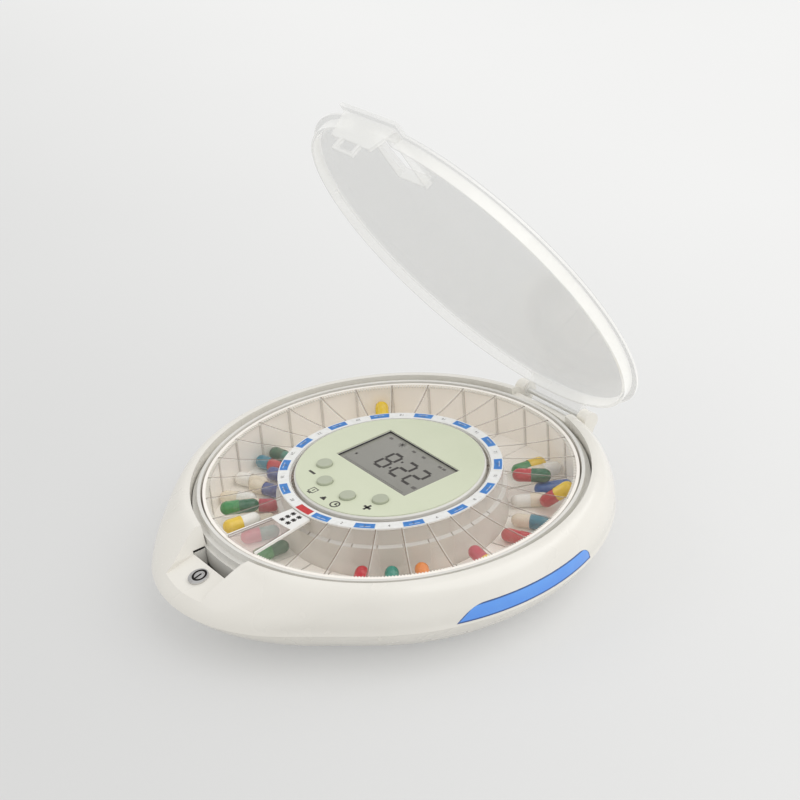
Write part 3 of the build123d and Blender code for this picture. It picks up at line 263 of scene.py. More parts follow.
def clear_plastic(name, tint, veil, rim, roughness=0.08, edges=None, painted_glow=0.0):
    """See-through plastic. veil and rim are its alpha face on and edge on.

    edges is a function that gives two masks: how solid an edge is, and how bright. The second
    goes from painted shade to a painted highlight. The last argument is the strength of a painted
    glow: the lit edges give light, or the whole surface where there are no edges, though none of
    them is a lamp.
    """
    material, bench = finish(name)
    spot, axes = bench.place()
    facing = bench.node("ShaderNodeLayerWeight", None, {"Blend": 0.3}, output="Facing")
    haze = bench.noise(spot, 14.0, 2.0).smooth(0.3, 0.7)
    alpha = facing * facing * (rim - veil) + haze * (0.15 * veil) + veil
    # Painted reflection: the colour turns white towards glancing angles.
    colour = (facing * 0.8).tint(tint, PAINTED_GLANCING_REFLECTION)
    if edges:
        solid, bright = edges(bench, axes)
        alpha = alpha + solid
        # Painted highlight and painted shade: edges take a lit or a dark colour.
        colour = bench.math("MINIMUM", solid * 4.0, 1.0).tint(colour, bright.tint(PAINTED_EDGE_SHADE, PAINTED_EDGE_LIGHT))
    sockets = {
        "Base Color": colour,
        "Alpha": bench.math("MINIMUM", alpha, 1.0),
        "Roughness": haze * 0.04 + roughness,
        "Normal": bench.bump(haze, 0.03 * MM),
        "IOR": 1.49,
    }
    # Painted glow: light given off by a piece that is no lamp.
    if painted_glow:
        sockets["Emission Color"] = bright.tint(NO_LIGHT, PAINTED_EDGE_LIGHT) if edges else colour
        sockets["Emission Strength"] = painted_glow
    return close_finish(material, bench, sockets)


bpy.context.scene.cycles.transparent_max_bounces = CLEAR_BOUNCES
print("clear surfaces that a ray may pass:", CLEAR_BOUNCES)

# %% [markdown]
# ## Edges of the clear pieces
#
# Each clear piece has its edges painted in its own way, with painted highlights and painted
# shade. The dividers show a painted dark line of shade beside a painted glint along their tops,
# and painted shade at their outer ends. The cover shows a painted white highlight along its sides
# with a painted dark line of shade inside it, and the tray's inner wall a painted pale highlight
# on its rim. The lid shows a painted highlight wherever its surface leaves the flat of its top,
# strongest on its right side, where the light falls, and a painted glow there. Each of these is a
# formula in the point's angle and radius, or in the way that the surface faces. The lid swings,
# so its formula reads the lid's own normal, which turns with it.


# %% Edges of tray, cover and lid
PLACES = 29
STEP = tau / PLACES
HOME = radians(-87.0)
COVER_HALF_ANGLE = radians(7.1)
joints = {joint["name"]: joint for joint in frame["record"]["behaviour"]["joints"]}
LID_SLOPE = -radians(joints["lid_hinge"]["range_deg"][0])
LID_UP = (0.0, sin(LID_SLOPE), cos(LID_SLOPE))


def divider_edges(bench, axes):
    """Painted shade beside a painted glint on a divider's top, and painted shade at its outer end."""
    angle, radius = bench.polar(axes)
    across = (((angle - HOME) / STEP + PLACES) % 1.0 - 0.5) * STEP * radius
    line = 1 - bench.math("ABSOLUTE", across + 0.2 * MM).smooth(0.16 * MM, 0.3 * MM)
    glint = bench.math("COMPARE", across, 0.3 * MM, 0.12 * MM)
    ends = radius.smooth(82.3 * MM, 82.7 * MM) * 0.2
    solid = bench.faces_up() * (line * 0.75 + glint * 0.3) + ends
    return solid, glint


def cover_edges(bench, axes):
    """A painted white highlight along each straight side of the cover, with painted shade inside it."""
    angle, radius = bench.polar(axes)
    aside = radius * COVER_HALF_ANGLE - bench.math("ABSOLUTE", angle - HOME) * radius
    line = 1 - bench.math("ABSOLUTE", aside - 1.1 * MM).smooth(0.1 * MM, 0.3 * MM)
    white = 1 - aside.smooth(0.6 * MM, 0.8 * MM)
    return white * 0.75 + line * 0.6, white


def rim_edges(bench, axes):
    """A painted highlight on the upper rim of a wall."""
    rim = bench.faces_up()
    return rim * 0.1, rim


def lid_edges(bench, axes):
    """A painted highlight on every face that turns from the lid's flat top, most solid on its right."""
    normal = bench.node("ShaderNodeTexCoord", output="Normal")
    values = {0: normal, 1: LID_UP}
    level = bench.node("ShaderNodeVectorMath", {"operation": "DOT_PRODUCT"}, values, output="Value")
    side = 1 - bench.math("ABSOLUTE", level).smooth(0.3, 0.75)
    return side * (axes[0].smooth(0.0, 90.0 * MM) * 0.3 + 0.14), side


TRAY_TINT = paint(250, 244, 236)
divider_clear = clear_plastic("divider_clear", TRAY_TINT, 0.03, 0.34, 0.08, divider_edges)
wall_clear = clear_plastic("wall_clear", TRAY_TINT, 0.35, 0.7, 0.12, rim_edges)
# Painted glow over the whole of the tray's floor and outer wall.
tray_frost = clear_plastic("tray_frost", paint(253, 246, 236), 0.95, 1.0, 0.3, None, 0.05)
cover_clear = clear_plastic("cover_clear", paint(240, 214, 212), 0.16, 0.4, 0.08, cover_edges)
# Painted highlight and painted glow on the lid's side faces.
lid_clear = clear_plastic("lid_clear", paint(202, 203, 202), 0.12, 0.8, 0.05, lid_edges, 0.18)
print("lid open at", round(degrees(LID_SLOPE)), "degrees, a place every", round(degrees(STEP), 2))

# %% [markdown]
# ## The blue light windows
#
# Each side of the casing has a blue window that lights up when a dose is due. It is a tinted
# diffuser with a dark line round it. The line is drawn by shader maths: the distance from a
# point to the nearest of the window's four straight sides, in the side view.


# %% Blue window
WINDOW_RAKE = 7.0 * MM


def window_blue():
    """Blue diffuser with a darker edge, from the corners that the CAD window has."""
    low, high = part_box("light_window_right")
    material, bench = finish("window_blue")
    spot, (_, depth, height) = bench.place()
    rise = (height - low.z) / (high.z - low.z)
    front = depth - low.y - rise * WINDOW_RAKE
    back = high.y - depth - rise * (WINDOW_RAKE / 3)
    near = bench.math("MINIMUM", front, back)
    near = bench.math("MINIMUM", near, bench.math("MINIMUM", height - low.z, high.z - height))
    line = 1 - near.smooth(0.2 * MM, 0.9 * MM)
    cloud = bench.noise(spot, 60.0, 3.0).smooth(0.3, 0.7)
    body = (cloud * 0.4 + rise * 0.5).tint(paint(92, 156, 250), paint(112, 176, 255))
    sockets = {
        "Base Color": (line * 0.8).tint(body, paint(30, 48, 104)),
        "Roughness": cloud * 0.08 + 0.2,
        "Normal": bench.bump(bench.noise(spot, 1400.0), 0.000006),
        "Coat Weight": 0.3,
    }
    return close_finish(material, bench, sockets)


blue_window = window_blue()

# %% [markdown]
# ## The ring of doses
#
# The ring round the display has one patch for each place: blue and white by turns, and red at
# the home place. A pattern that follows an angle is one formula, so it is painted by the shader
# from each point's angle round the axis, and needs no extra mesh.


# %% Printed ring
def printed_ring():
    """Blue and white patches round a ring, with a red one at home."""
    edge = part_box("dosage_ring")[1].x
    material, bench = finish("printed_ring")
    spot, axes = bench.place()
    angle, radius = bench.polar(axes)
    turns = (angle - HOME) / STEP + PLACES + 0.5
    place = bench.math("FLOOR", turns) % PLACES
    inside = turns % 1.0
    patch = bench.math("COMPARE", place % 2, 1.0, 0.25)
    home = place < 0.5
    ends = bench.math("MINIMUM", inside, 1 - inside).smooth(0.05, 0.09)
    band = radius.smooth(edge - 4.2 * MM, edge - 3.9 * MM)
    band = band * (1 - radius.smooth(edge - 0.5 * MM, edge - 0.3 * MM))
    top = bench.faces_up()
    fleck = bench.noise(spot, 500.0, 3.0).smooth(0.35, 0.75)
    blue = fleck.tint(paint(50, 122, 200), paint(72, 144, 214))
    red = fleck.tint(paint(196, 38, 42), paint(208, 54, 54))
    white = fleck.tint(paint(243, 243, 241), paint(234, 234, 230))
    ink = home.tint(blue, red)
    print_line = bench.math("ABSOLUTE", radius - (edge - 1.7 * MM)).smooth(0.1 * MM, 0.3 * MM)
    stripe = (1 - print_line) * (inside > 0.3) * (inside < 0.75) * (1 - home)
    mask = bench.math("MAXIMUM", patch, home) * ends * band * top * (1 - stripe * 0.6)
    sockets = {
        "Base Color": mask.tint(white, ink),
        "Roughness": fleck * 0.1 + 0.35,
        "Normal": bench.bump(bench.noise(spot, 2500.0), 0.000004),
    }
    return close_finish(material, bench, sockets)


ring_print = printed_ring()

# %% [markdown]
# ## Paper, printed panel and display glass
#
# The panel round the display is printed a pale green, the label on the tray is plain paper, and
# the display is grey glass that is a little lighter towards the back. All three are
# flat, so their interest is in fine grain and in how they shine.


# %% Panel, label and display
def printed_sheet(name, colour, shade, roughness):
    """A printed plastic or paper sheet with fine fibres."""
    material, bench = finish(name)
    spot, _ = bench.place()
    fibre = bench.noise(bench.stretched(spot, (1.0, 3.0, 1.0)), 1800.0, 4.0)
    cloud = bench.noise(spot, 40.0, 3.0).smooth(0.3, 0.7)
    sockets = {
        "Base Color": (fibre * 0.4 + cloud * 0.5).tint(colour, shade),
        "Roughness": cloud * 0.1 + roughness,
        "Normal": bench.bump(fibre, 0.000006),
    }
    return close_finish(material, bench, sockets)


def display_glass():
    """Grey liquid-crystal glass with faint columns of cells."""
    low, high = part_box("lcd_panel")
    material, bench = finish("display_glass")
    spot, (across, depth, _) = bench.place()
    rise = (depth - low.y) / (high.y - low.y)
    cells = bench.math("PINGPONG", across, 0.9 * MM).smooth(0.0, 0.2 * MM)
    cloud = bench.noise(spot, 70.0, 2.0)
    tone = (rise * 0.7 + cloud * 0.25 + cells * 0.05).tint(paint(137, 136, 128), paint(152, 150, 142))
    sockets = {
        "Base Color": tone,
        "Roughness": cloud * 0.08 + 0.14,
        "Normal": bench.bump(bench.noise(spot, 900.0), 0.000002),
        "Coat Weight": 0.5,
    }
    return close_finish(material, bench, sockets)


green_panel = printed_sheet("green_panel", paint(221, 226, 200), paint(214, 220, 193), 0.4)
label_paper = printed_sheet("label_paper", paint(247, 246, 244), paint(238, 237, 233), 0.6)
display_grey = display_glass()
ink_dark = printed_sheet("ink_dark", paint(56, 52, 50), paint(72, 67, 64), 0.5)
ink_grey = printed_sheet("ink_grey", paint(96, 93, 90), paint(112, 109, 104), 0.5)

# %% [markdown]
# ## Metals
#
# The lock is chromed and turned on a lathe, so its marks are rings: a sine of the distance from
# its middle. Screws, pins and plates are drawn steel, with marks along one axis, from a noise
# pattern that is stretched. Both change roughness and bump a little and the colour hardly at all.


# %% Metals
LATHE_PITCH = 0.35 * MM


def drawn_metal(name, colour, shade, roughness, stretch):
    """Metal with fine marks along the axis whose stretch is least."""
    material, bench = finish(name)
    spot, _ = bench.place()
    marks = bench.noise(bench.stretched(spot, stretch), 300.0, 4.0)
    stain = bench.noise(spot, 90.0, 3.0).smooth(0.35, 0.75)
    sockets = {
        "Base Color": (marks * 0.5 + stain * 0.4).tint(colour, shade),
        "Metallic": 1.0,
        "Roughness": marks * 0.16 + roughness,
        "Normal": bench.bump(marks, 0.000008),
    }
    return close_finish(material, bench, sockets)


def turned_chrome(name, centre):
    """Bright metal with rings about an upright line through a point, and painted shade at the plug's gap."""
    material, bench = finish(name)
    spot, (across, depth, _) = bench.place()
    x = across - centre.x
    y = depth - centre.y
    radius = bench.math("SQRT", x * x + y * y)
    rings = bench.math("SINE", radius * (tau / LATHE_PITCH)) * 0.5 + 0.5
    wear = bench.noise(spot, 500.0, 3.0).smooth(0.4, 0.75)
    # Painted shade: a dark ring where the gap round the plug lies.
    gap_shade = radius.smooth(2.2 * MM, 2.5 * MM) * (1 - radius.smooth(3.3 * MM, 3.5 * MM))
    bright = wear.tint(paint(214, 213, 212), paint(184, 182, 180))
    sockets = {
        "Base Color": gap_shade.tint(bright, paint(44, 43, 42)),
        "Metallic": 1.0,
        "Roughness": rings * 0.06 + wear * 0.12 + 0.14,
        "Normal": bench.bump(rings, 0.000006),
    }
    return close_finish(material, bench, sockets)


lock_low, lock_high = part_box("lock_plug")
lock_chrome = turned_chrome("lock_chrome", (lock_low + lock_high) / 2)
nickel = drawn_metal("nickel", paint(238, 238, 236), paint(226, 226, 224), 0.36, (0.1, 1.0, 1.0))
steel = drawn_metal("steel", paint(190, 190, 192), paint(162, 162, 166), 0.28, (0.1, 1.0, 1.0))
spring_steel = drawn_metal("spring_steel", paint(205, 204, 198), paint(176, 174, 166), 0.3, (1.0, 0.1, 1.0))
print("lock centre", [round(value / MM, 1) for value in (lock_low + lock_high) / 2], "mm")

# %% [markdown]
# ## Inside the casing
#
# Boards and cells are hidden until the part is taken apart, and each still has its own look. The
# boards are green with copper lines under the mask. A cell's jacket is dark with a copper band
# at one end, so its colour follows the X axis that the cells lie along.


# %% Board and cells
def board_mask():
    """Green board with straight tracks a shade lighter."""
    material, bench = finish("board_mask")
    spot, (across, depth, height) = bench.place()
    lanes = bench.math("PINGPONG", across + height, 1.6 * MM).smooth(0.9 * MM, 1.1 * MM)
    rows = bench.math("PINGPONG", depth, 2.1 * MM).smooth(1.4 * MM, 1.6 * MM)
    zone = bench.noise(spot, 140.0, 1.0) > 0.5
    track = lanes * zone + rows * (1 - zone)
    sockets = {
        "Base Color": track.tint(paint(22, 84, 46), paint(58, 124, 74)),
        "Roughness": track * 0.1 + 0.34,
        "Normal": bench.bump(track, 0.00003),
    }
    return close_finish(material, bench, sockets)


def cell_jacket():
    """Dark jacket with a copper band at one end."""
    low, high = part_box("batteries")
    material, bench = finish("cell_jacket")
    spot, (across, _, _) = bench.place()
    along = (across - low.x) / (high.x - low.x)
    band = along.smooth(0.7, 0.704)
    cap = bench.math("MAXIMUM", along.smooth(0.975, 0.98), 1 - along.smooth(0.02, 0.025))
    wrap = band.tint(paint(40, 42, 46), paint(176, 122, 72))
    scuff = bench.noise(spot, 220.0, 3.0)
    sockets = {
        "Base Color": cap.tint(wrap, paint(196, 196, 196)),
        "Metallic": band * 0.5 + cap * 0.5,
        "Roughness": scuff * 0.2 + 0.22,
        "Normal": bench.bump(scuff, 0.00001),
    }
    return close_finish(material, bench, sockets)


board_green = board_mask()
jacket = cell_jacket()
print("hidden finishes:", board_green.name, jacket.name)

# %% [markdown]
# ## Giving each CAD piece its finish
#
# A CAD piece keeps its mesh and its place. Only the material in its slots changes. A table from
# finish to pieces shows at a glance that none of them was forgotten, and the last line of the
# cell checks it.

# %% Dress the CAD pieces
wardrobe = {
    shell_white: ["upper_shell", "base_pan", "battery_door"],
    inner_white: ["tray_well", "display_housing"],
    blue_window: ["light_window_right", "light_window_left"],
    rubber: ["rubber_feet"],
    jacket: ["batteries"],
    spring_steel: ["battery_contacts", "gearbox_plate", "lock_cam"],
    steel: ["case_screws", "gear_axle", "motor_shaft", "pcb_screws", "lock_nut"],
    nickel: ["hinge_pin"],
    black_plastic: ["drive_motor", "button_switches", "buzzer", "lcd_connector"],
    board_green: ["main_pcb", "led_board_right", "led_board_left"],
    display_grey: ["lcd_panel"],
    green_panel: ["display_fascia"],
    key_rubber: ["button_minus", "button_clock", "button_alarm", "button_plus"],
    lock_chrome: ["lock_barrel", "lock_plug"],
    tray_frost: ["tray_floor", "tray_outer_wall"],
    wall_clear: ["tray_inner_wall", "tray_ring_gear"],
    divider_clear: ["tray_dividers"],
    cover_clear: ["sector_cover"],
    ring_print: ["dosage_ring"],
    label_paper: ["cover_label"],
    gear_nylon: ["drive_gear", "motor_pinion"],
    lid_clear: ["clear_lid"],
}
for material, names in wardrobe.items():
    for name in names:
        for slot in nodes[name].material_slots:
            slot.material = material
dressed = {name for names in wardrobe.values() for name in names}
print("dressed", len(dressed), "of", len(nodes), "left:", sorted(set(nodes) - dressed))

# %% [markdown] ## Geometry Nodes for what repeats  The tray's rim has a fine ring of ticks,
# and the tray holds many two-coloured capsules. Both are one small shape placed many times. A
# Geometry Nodes tree makes the shape and the places together, and its inputs are named sizes.


# %% Run a tree and keep its mesh
def new_tree(name, sizes):
    """An empty geometry tree with named inputs, its bench and its inputs as wires."""
    tree = bpy.data.node_groups.new(name, "GeometryNodeTree")
    tree.interface.new_socket("Geometry", in_out="INPUT", socket_type="NodeSocketGeometry")
    for size, value in sizes.items():
        kind = "NodeSocketInt" if isinstance(value, int) else "NodeSocketFloat"
        tree.interface.new_socket(size, in_out="INPUT", socket_type=kind)
    tree.interface.new_socket("Geometry", in_out="OUTPUT", socket_type="NodeSocketGeometry")
    bench = Bench(tree)
    gate = tree.nodes.new("NodeGroupInput")
    inputs = {socket.name: Wire(bench, socket) for socket in gate.outputs if socket.name}
    return tree, bench, inputs


def grow(name, tree, sizes, seed_mesh, material):
    """Runs a tree on a mesh, and gives the result as a plain object."""
    seed = bpy.data.objects.new(name + "_seed", seed_mesh)
    bpy.context.scene.collection.objects.link(seed)
    seed.data.materials.append(material)
    modifier = seed.modifiers.new("grow", "NODES")
    modifier.node_group = tree
    for item in tree.interface.items_tree:
        if item.in_out == "INPUT" and item.name in sizes:
            modifier[item.identifier] = sizes[item.name]
    bpy.context.view_layer.update()
    seen = seed.evaluated_get(bpy.context.evaluated_depsgraph_get())
    mesh = bpy.data.meshes.new_from_object(seen)
    seed.modifiers.remove(modifier)
    bpy.data.objects.remove(seed)
    piece = bpy.data.objects.new(name, mesh)
    bpy.context.scene.collection.objects.link(piece)
    print(name, len(mesh.polygons), "faces")
    return piece


def close_tree(bench, geometry, material):
    """Realises the instances, sets the material and ends the tree."""
    real = bench.node("GeometryNodeRealizeInstances", None, {"Geometry": geometry})
    done = bench.node("GeometryNodeSetMaterial", None, {"Geometry": real, "Material": material})
    bench.node("NodeGroupOutput", None, {0: done})


print("trees can be grown")

# %% [markdown]
# ## Ticks round the tray's rim
#
# Round the top of the tray's wall runs a ring of fine teeth, which shows as a row of pale ticks.
# Each tick is a block a little over half a millimetre wide, and there are thirteen to each place.
# A point's angle comes from its index: the index times a full turn, divided by the count.


# %% Rim ticks
def tick_tree(sizes, material):
    """A ring of small blocks about the axis."""
    tree, bench, inputs = new_tree("tick_ring", sizes)
    count = inputs["Count"]
    points = bench.node("GeometryNodePoints", None, {"Count": count})
    turn = bench.node("GeometryNodeInputIndex") * tau / count
    radius = inputs["Radius"]
    along, aside = bench.math("COSINE", turn) * radius, bench.math("SINE", turn) * radius
    spot = bench.vector(X=along, Y=aside, Z=inputs["Height"])
    placed = bench.node("GeometryNodeSetPosition", None, {"Geometry": points, "Position": spot})
    size = bench.vector(X=inputs["Length"], Y=inputs["Width"], Z=inputs["Rise"])
    block = bench.node("GeometryNodeMeshCube", None, {"Size": size})
    values = {"Points": placed, "Instance": block, "Rotation": bench.vector(Z=turn)}
    close_tree(bench, bench.node("GeometryNodeInstanceOnPoints", None, values), material)
    return tree


TICKS_TO_A_PLACE = 13
wall_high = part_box("tray_outer_wall")[1]
tick_sizes = {
    "Count": TICKS_TO_A_PLACE * PLACES,
    "Radius": wall_high.x - 2.0 * MM,
    "Height": wall_high.z - 0.9 * MM,
    "Length": 1.4 * MM,
    "Width": 0.62 * MM,
    "Rise": 0.9 * MM,
}
tick_white = moulded("tick_white", paint(241, 238, 231), paint(228, 224, 214), 0.3)
ring_tree = tick_tree(tick_sizes, tick_white)
rim_ticks = grow("rim_ticks", ring_tree, tick_sizes, bpy.data.meshes.new("no_mesh"), tick_white)
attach(rim_ticks, "tray")

# %% [markdown]
# ## Capsules
#
# A two-piece capsule is a long shell and a slightly wider short one that slides over it. Both
# halves are one shape: a straight wall that ends in a dome. The tree bends a flat grid into that
# half, and one point for each half says where it goes, which way it points, how wide it is and
# what colour it has. The colour is read by the material as an attribute.

# %% Where the capsules lie
CAPSULE_RADIUS = 3.3 * MM
WALL_HALF = 5.6 * MM
WALL_SHARE = 0.12  # of the grid's length that makes the straight wall; the rest is the dome
INNER_GIRTH = 0.94
floor_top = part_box("tray_floor")[1].z
COLOURS = {
    "green": paint(34, 138, 70),
    "dark_green": paint(26, 98, 66),
    "teal": paint(48, 140, 122),
    "sea": paint(40, 128, 152),
    "blue": paint(36, 104, 186),
    "navy": paint(64, 84, 150),
    "red": paint(196, 36, 48),
    "crimson": paint(196, 44, 74),
    "yellow": paint(240, 202, 34),
    "orange": paint(236, 138, 60),
    "cream": paint(238, 226, 204),
    "white": paint(246, 244, 238),
}
# How a capsule can lie in its place: distance from the axis, distance ahead of the place's
# middle, height above the tray's floor (all in mm), tilt and turn in degrees.
BERTHS = {
    "inner": (61.8, 0.0, 3.3, 0.0, 0.0),
    "inner_ahead": (62.0, 2.0, 3.3, 0.0, 3.0),
    "inner_behind": (64.0, -2.2, 3.3, 0.0, -2.0),
    "inner_slanted": (64.2, 1.2, 3.3, 0.0, -10.0),
    "middle_ahead": (69.0, 2.6, 3.3, 0.0, 4.0),
    "outer_ahead": (73.6, 3.3, 3.3, 0.0, 5.0),
    "outer_behind": (73.6, -3.6, 3.3, 0.0, -5.0),
    "upper": (69.2, -0.8, 9.9, 0.0, 4.0),
    "upper_slanted": (69.0, -2.0, 9.9, 0.0, 12.0),
    "upper_crossing": (64.2, -1.2, 9.9, 0.0, -18.0),
    "leaning": (74.0, -2.6, 8.7, 35.0, -4.0),
    "propped": (64.5, 0.0, 5.6, -15.0, 0.0),
}
# For each place, counted round from home: the berth, the colour of the end that points outwards
# and the colour of the other end.
DOSES = {
    3: [("propped", "cream", "red")],
    4: [("propped", "white", "teal")],
    5: [("propped", "cream", "orange")],
    7: [("propped", "yellow", "crimson")],
    9: [("inner_behind", "red", "red")],
    10: [("inner_behind", "sea", "cream")],
    11: [("leaning", "yellow", "red"), ("inner_ahead", "cream", "white")],
    12: [("outer_behind", "blue", "blue"), ("upper_crossing", "dark_green", "red")],
    13: [("middle_ahead", "yellow", "green"), ("outer_behind", "white", "cream")],
    19: [("leaning", "yellow", "cream")],
    22: [("outer_ahead", "dark_green", "teal")],
    23: [("outer_behind", "sea", "red"), ("inner_ahead", "navy", "crimson")],
    24: [("inner_slanted", "cream", "navy"), ("outer_behind", "white", "cream")],
    25: [("inner_ahead", "cream", "crimson"), ("outer_behind", "cream", "white")],
    26: [("upper", "green", "dark_green"), ("inner_ahead", "white", "cream")],
    27: [("upper_slanted", "yellow", "white"), ("inner", "crimson", "teal")],
    28: [("inner_ahead", "green", "dark_green")],
}


def capsule_halves():
    """Middle, turn, girth and colour of each half, as one list."""
    halves = []
    for place, doses in DOSES.items():
        angle = HOME + place * STEP
        for berth, outer, inner in doses:
            reach, ahead, rise, tilt, turn = BERTHS[berth]
            middle = Vector((reach * MM, ahead * MM, floor_top + rise * MM))
            middle.rotate(Matrix.Rotation(angle, 3, "Z"))
            heading = angle + radians(turn)
            halves.append((middle, (0.0, -radians(tilt), heading), 1.0, COLOURS[outer]))
            halves.append((middle, (0.0, radians(180 - tilt), heading), INNER_GIRTH, COLOURS[inner]))
    return halves


halves = capsule_halves()
print(len(halves) // 2, "capsules in", len(DOSES), "places")

# %% [markdown]
# The points are a mesh with one vertex for each half, and three attributes. The half itself is a
# grid whose x becomes the distance along the capsule and whose y becomes the angle round it.


# %% Grow the capsules
def half_points():
    """A mesh of points that carry turn, girth and shell_colour."""
    mesh = bpy.data.meshes.new("capsule_points")
    mesh.from_pydata([half[0] for half in halves], [], [])
    for name, kind in (("turn", "FLOAT_VECTOR"), ("girth", "FLOAT"), ("shell_colour", "FLOAT_COLOR")):
        mesh.attributes.new(name, kind, "POINT")
    for index, (_, angles, width, shade) in enumerate(halves):
        mesh.attributes["turn"].data[index].vector = angles
        mesh.attributes["girth"].data[index].value = width
        mesh.attributes["shell_colour"].data[index].color = shade
    return mesh


def capsule_tree(sizes, material):
    """Half a capsule from a bent grid, on each point of the mesh."""
    tree, bench, inputs = new_tree("capsule_half", sizes)
    values = {"Size X": 1.0, "Size Y": 1.0, "Vertices X": inputs["Steps"], "Vertices Y": inputs["Sides"]}
    grid = bench.node("GeometryNodeMeshGrid", None, values)
    corner = bench.node("GeometryNodeInputPosition")
    share = bench.axis(corner, "X") + 0.5
    turn = bench.axis(corner, "Y") * -tau
    radius = inputs["Radius"]
    dome = bench.math("MAXIMUM", share - WALL_SHARE, 0.0) / (1 - WALL_SHARE)
    bend = dome * (pi / 2)
    wall = bench.math("MINIMUM", share / WALL_SHARE, 1.0) * inputs["Wall"]
    along = wall + bench.math("SINE", bend) * radius
    girth = bench.math("COSINE", bend) * radius
    spot = bench.vector(X=along, Y=bench.math("COSINE", turn) * girth, Z=bench.math("SINE", turn) * girth)
    bent = bench.node("GeometryNodeSetPosition", None, {"Geometry": grid, "Position": spot})
    merged = bench.node("GeometryNodeMergeByDistance", None, {"Geometry": bent, "Distance": 0.01 * MM})
    shaded = bench.node("GeometryNodeSetShadeSmooth", None, {"Geometry": merged})
    named = "GeometryNodeInputNamedAttribute"
    heading = bench.node(named, {"data_type": "FLOAT_VECTOR"}, {"Name": "turn"})
    width = bench.node(named, {"data_type": "FLOAT"}, {"Name": "girth"})
    scale = bench.vector(X=1.0, Y=width, Z=width)
    values = {"Points": inputs["Geometry"], "Instance": shaded, "Rotation": heading, "Scale": scale}
    close_tree(bench, bench.node("GeometryNodeInstanceOnPoints", None, values), material)
    return tree


def gelatin():
    """Glossy capsule shell that takes its colour from the mesh."""
    material, bench = finish("gelatin")
    spot, _ = bench.place()
    colour = bench.node("ShaderNodeAttribute", {"attribute_name": "shell_colour"}, None, "Color")
    cloud = bench.noise(spot, 260.0, 2.0).smooth(0.3, 0.8)
    sockets = {
        "Base Color": (cloud * 0.08).tint(colour, IVORY),
        "Roughness": cloud * 0.1 + 0.2,
        "Normal": bench.bump(bench.noise(spot, 700.0), 0.00001),
        "Coat Weight": 0.4,
    }
    return close_finish(material, bench, sockets)


capsule_sizes = {"Steps": 9, "Sides": 17, "Radius": CAPSULE_RADIUS, "Wall": WALL_HALF}
shell_gelatin = gelatin()
half_tree = capsule_tree(capsule_sizes, shell_gelatin)
capsules = grow("capsules", half_tree, capsule_sizes, half_points(), shell_gelatin)
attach(capsules, "tray")

# %% [markdown] ## From a mesh to a piece  The print and the thin walls that follow are built
# with bmesh. One helper does this for all of them.


# %% Settle a piece
def settle(name, made, material, body):
    """Turns a finished bmesh into a piece that rides on a body."""
    mesh = bpy.data.meshes.new(name)
    made.to_mesh(mesh)
    made.free()
    mesh.materials.append(material)
    piece = bpy.data.objects.new(name, mesh)
    bpy.context.scene.collection.objects.link(piece)
    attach(piece, body)
    print(name, len(mesh.polygons), "faces on", body)


print("pieces can be settled")

# %% [markdown]
# ## Print
#
# Ink has almost no thickness, so each mark is a flat shape raised three hundredths of a
# millimetre above what it is printed on. A mark is given by its corners. Bars, and arcs made of
# short pieces, are enough for every symbol on the panel and every segment of the display.

# %% Marks from corners
INK = 0.03 * MM


def bar(x, y, length, width, turn=0.0):
    """Corners of a bar about a point, in mm."""
    along, aside = length / 2, width / 2
    ends = [(-along, -aside), (along, -aside), (along, aside), (-along, aside)]
    c, s = cos(radians(turn)), sin(radians(turn))
    return [(x + c * u - s * v, y + s * u + c * v) for u, v in ends]


def arc(x, y, radius, width, start=0.0, end=360.0, sides=24):
    """Corner lists of the small pieces of an arc."""
    turns = [radians(start + (end - start) * step / sides) for step in range(sides + 1)]
    reaches = (radius - width / 2, radius + width / 2)
    inner, outer = [[(x + reach * cos(turn), y + reach * sin(turn)) for turn in turns] for reach in reaches]
    return [(inner[k], outer[k], outer[k + 1], inner[k + 1]) for k in range(sides)]


def printed(name, marks, height, material, body="casing"):
    """One piece from many marks, standing on a level surface."""
    made = bmesh.new()
    for mark in marks:
        foot = [made.verts.new((x * MM, y * MM, height)) for x, y in mark]
        head = [made.verts.new((x * MM, y * MM, height + INK)) for x, y in mark]
        made.faces.new(head)
        made.faces.new(foot[::-1])
        for near in range(len(mark)):
            far = (near + 1) % len(mark)
            made.faces.new((foot[near], foot[far], head[far], head[near]))
    settle(name, made, material, body)


print("an arc of a full turn has", len(arc(0.0, 0.0, 2.0, 0.5)), "pieces")

# %% [markdown]
# The display shows a time in the usual seven segments. Round it are small grey marks: a row
# along the top with a star in it, a cross, a block, and two rows of dashes along the foot.

# %% Display digits
SEGMENTS = {"8": "abcdefg", "2": "abged"}
DIGITS = (("8", -5.5), ("2", 5.6), ("2", 15.0))  # shape, and distance across from the middle
DIGIT_WIDTH = 6.0
DIGIT_HEIGHT = 12.4
STROKE = 1.5
SEGMENT_CUT = 0.7 * STROKE  # how much shorter a segment is than the side that it stands on


def digit_marks(shape, x, y):
    """Segments of one digit about its middle."""
    side, half = DIGIT_WIDTH / 2, DIGIT_HEIGHT / 2
    level = {"a": half, "g": 0.0, "d": -half}
    upright = {"f": (-side, half / 2), "b": (side, half / 2), "e": (-side, -half / 2), "c": (side, -half / 2)}
    marks = []
    for segment in SEGMENTS[shape]:
        if segment in level:
            marks.append(bar(x, y + level[segment], DIGIT_WIDTH - SEGMENT_CUT, STROKE))
        else:
            dx, dy = upright[segment]
            marks.append(bar(x + dx, y + dy, STROKE, half - SEGMENT_CUT))
    return marks


lcd_low, lcd_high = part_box("lcd_panel")
lcd_y = (lcd_low.y + lcd_high.y) / 2 / MM
digit_y = lcd_y - 0.8
time_marks = [bar(0.2, digit_y + rise, 1.2, 1.2) for rise in (-3.4, 3.4)]
for shape, x in DIGITS:
    time_marks += digit_marks(shape, x, digit_y)
printed("display_digits", time_marks, lcd_high.z, ink_dark)

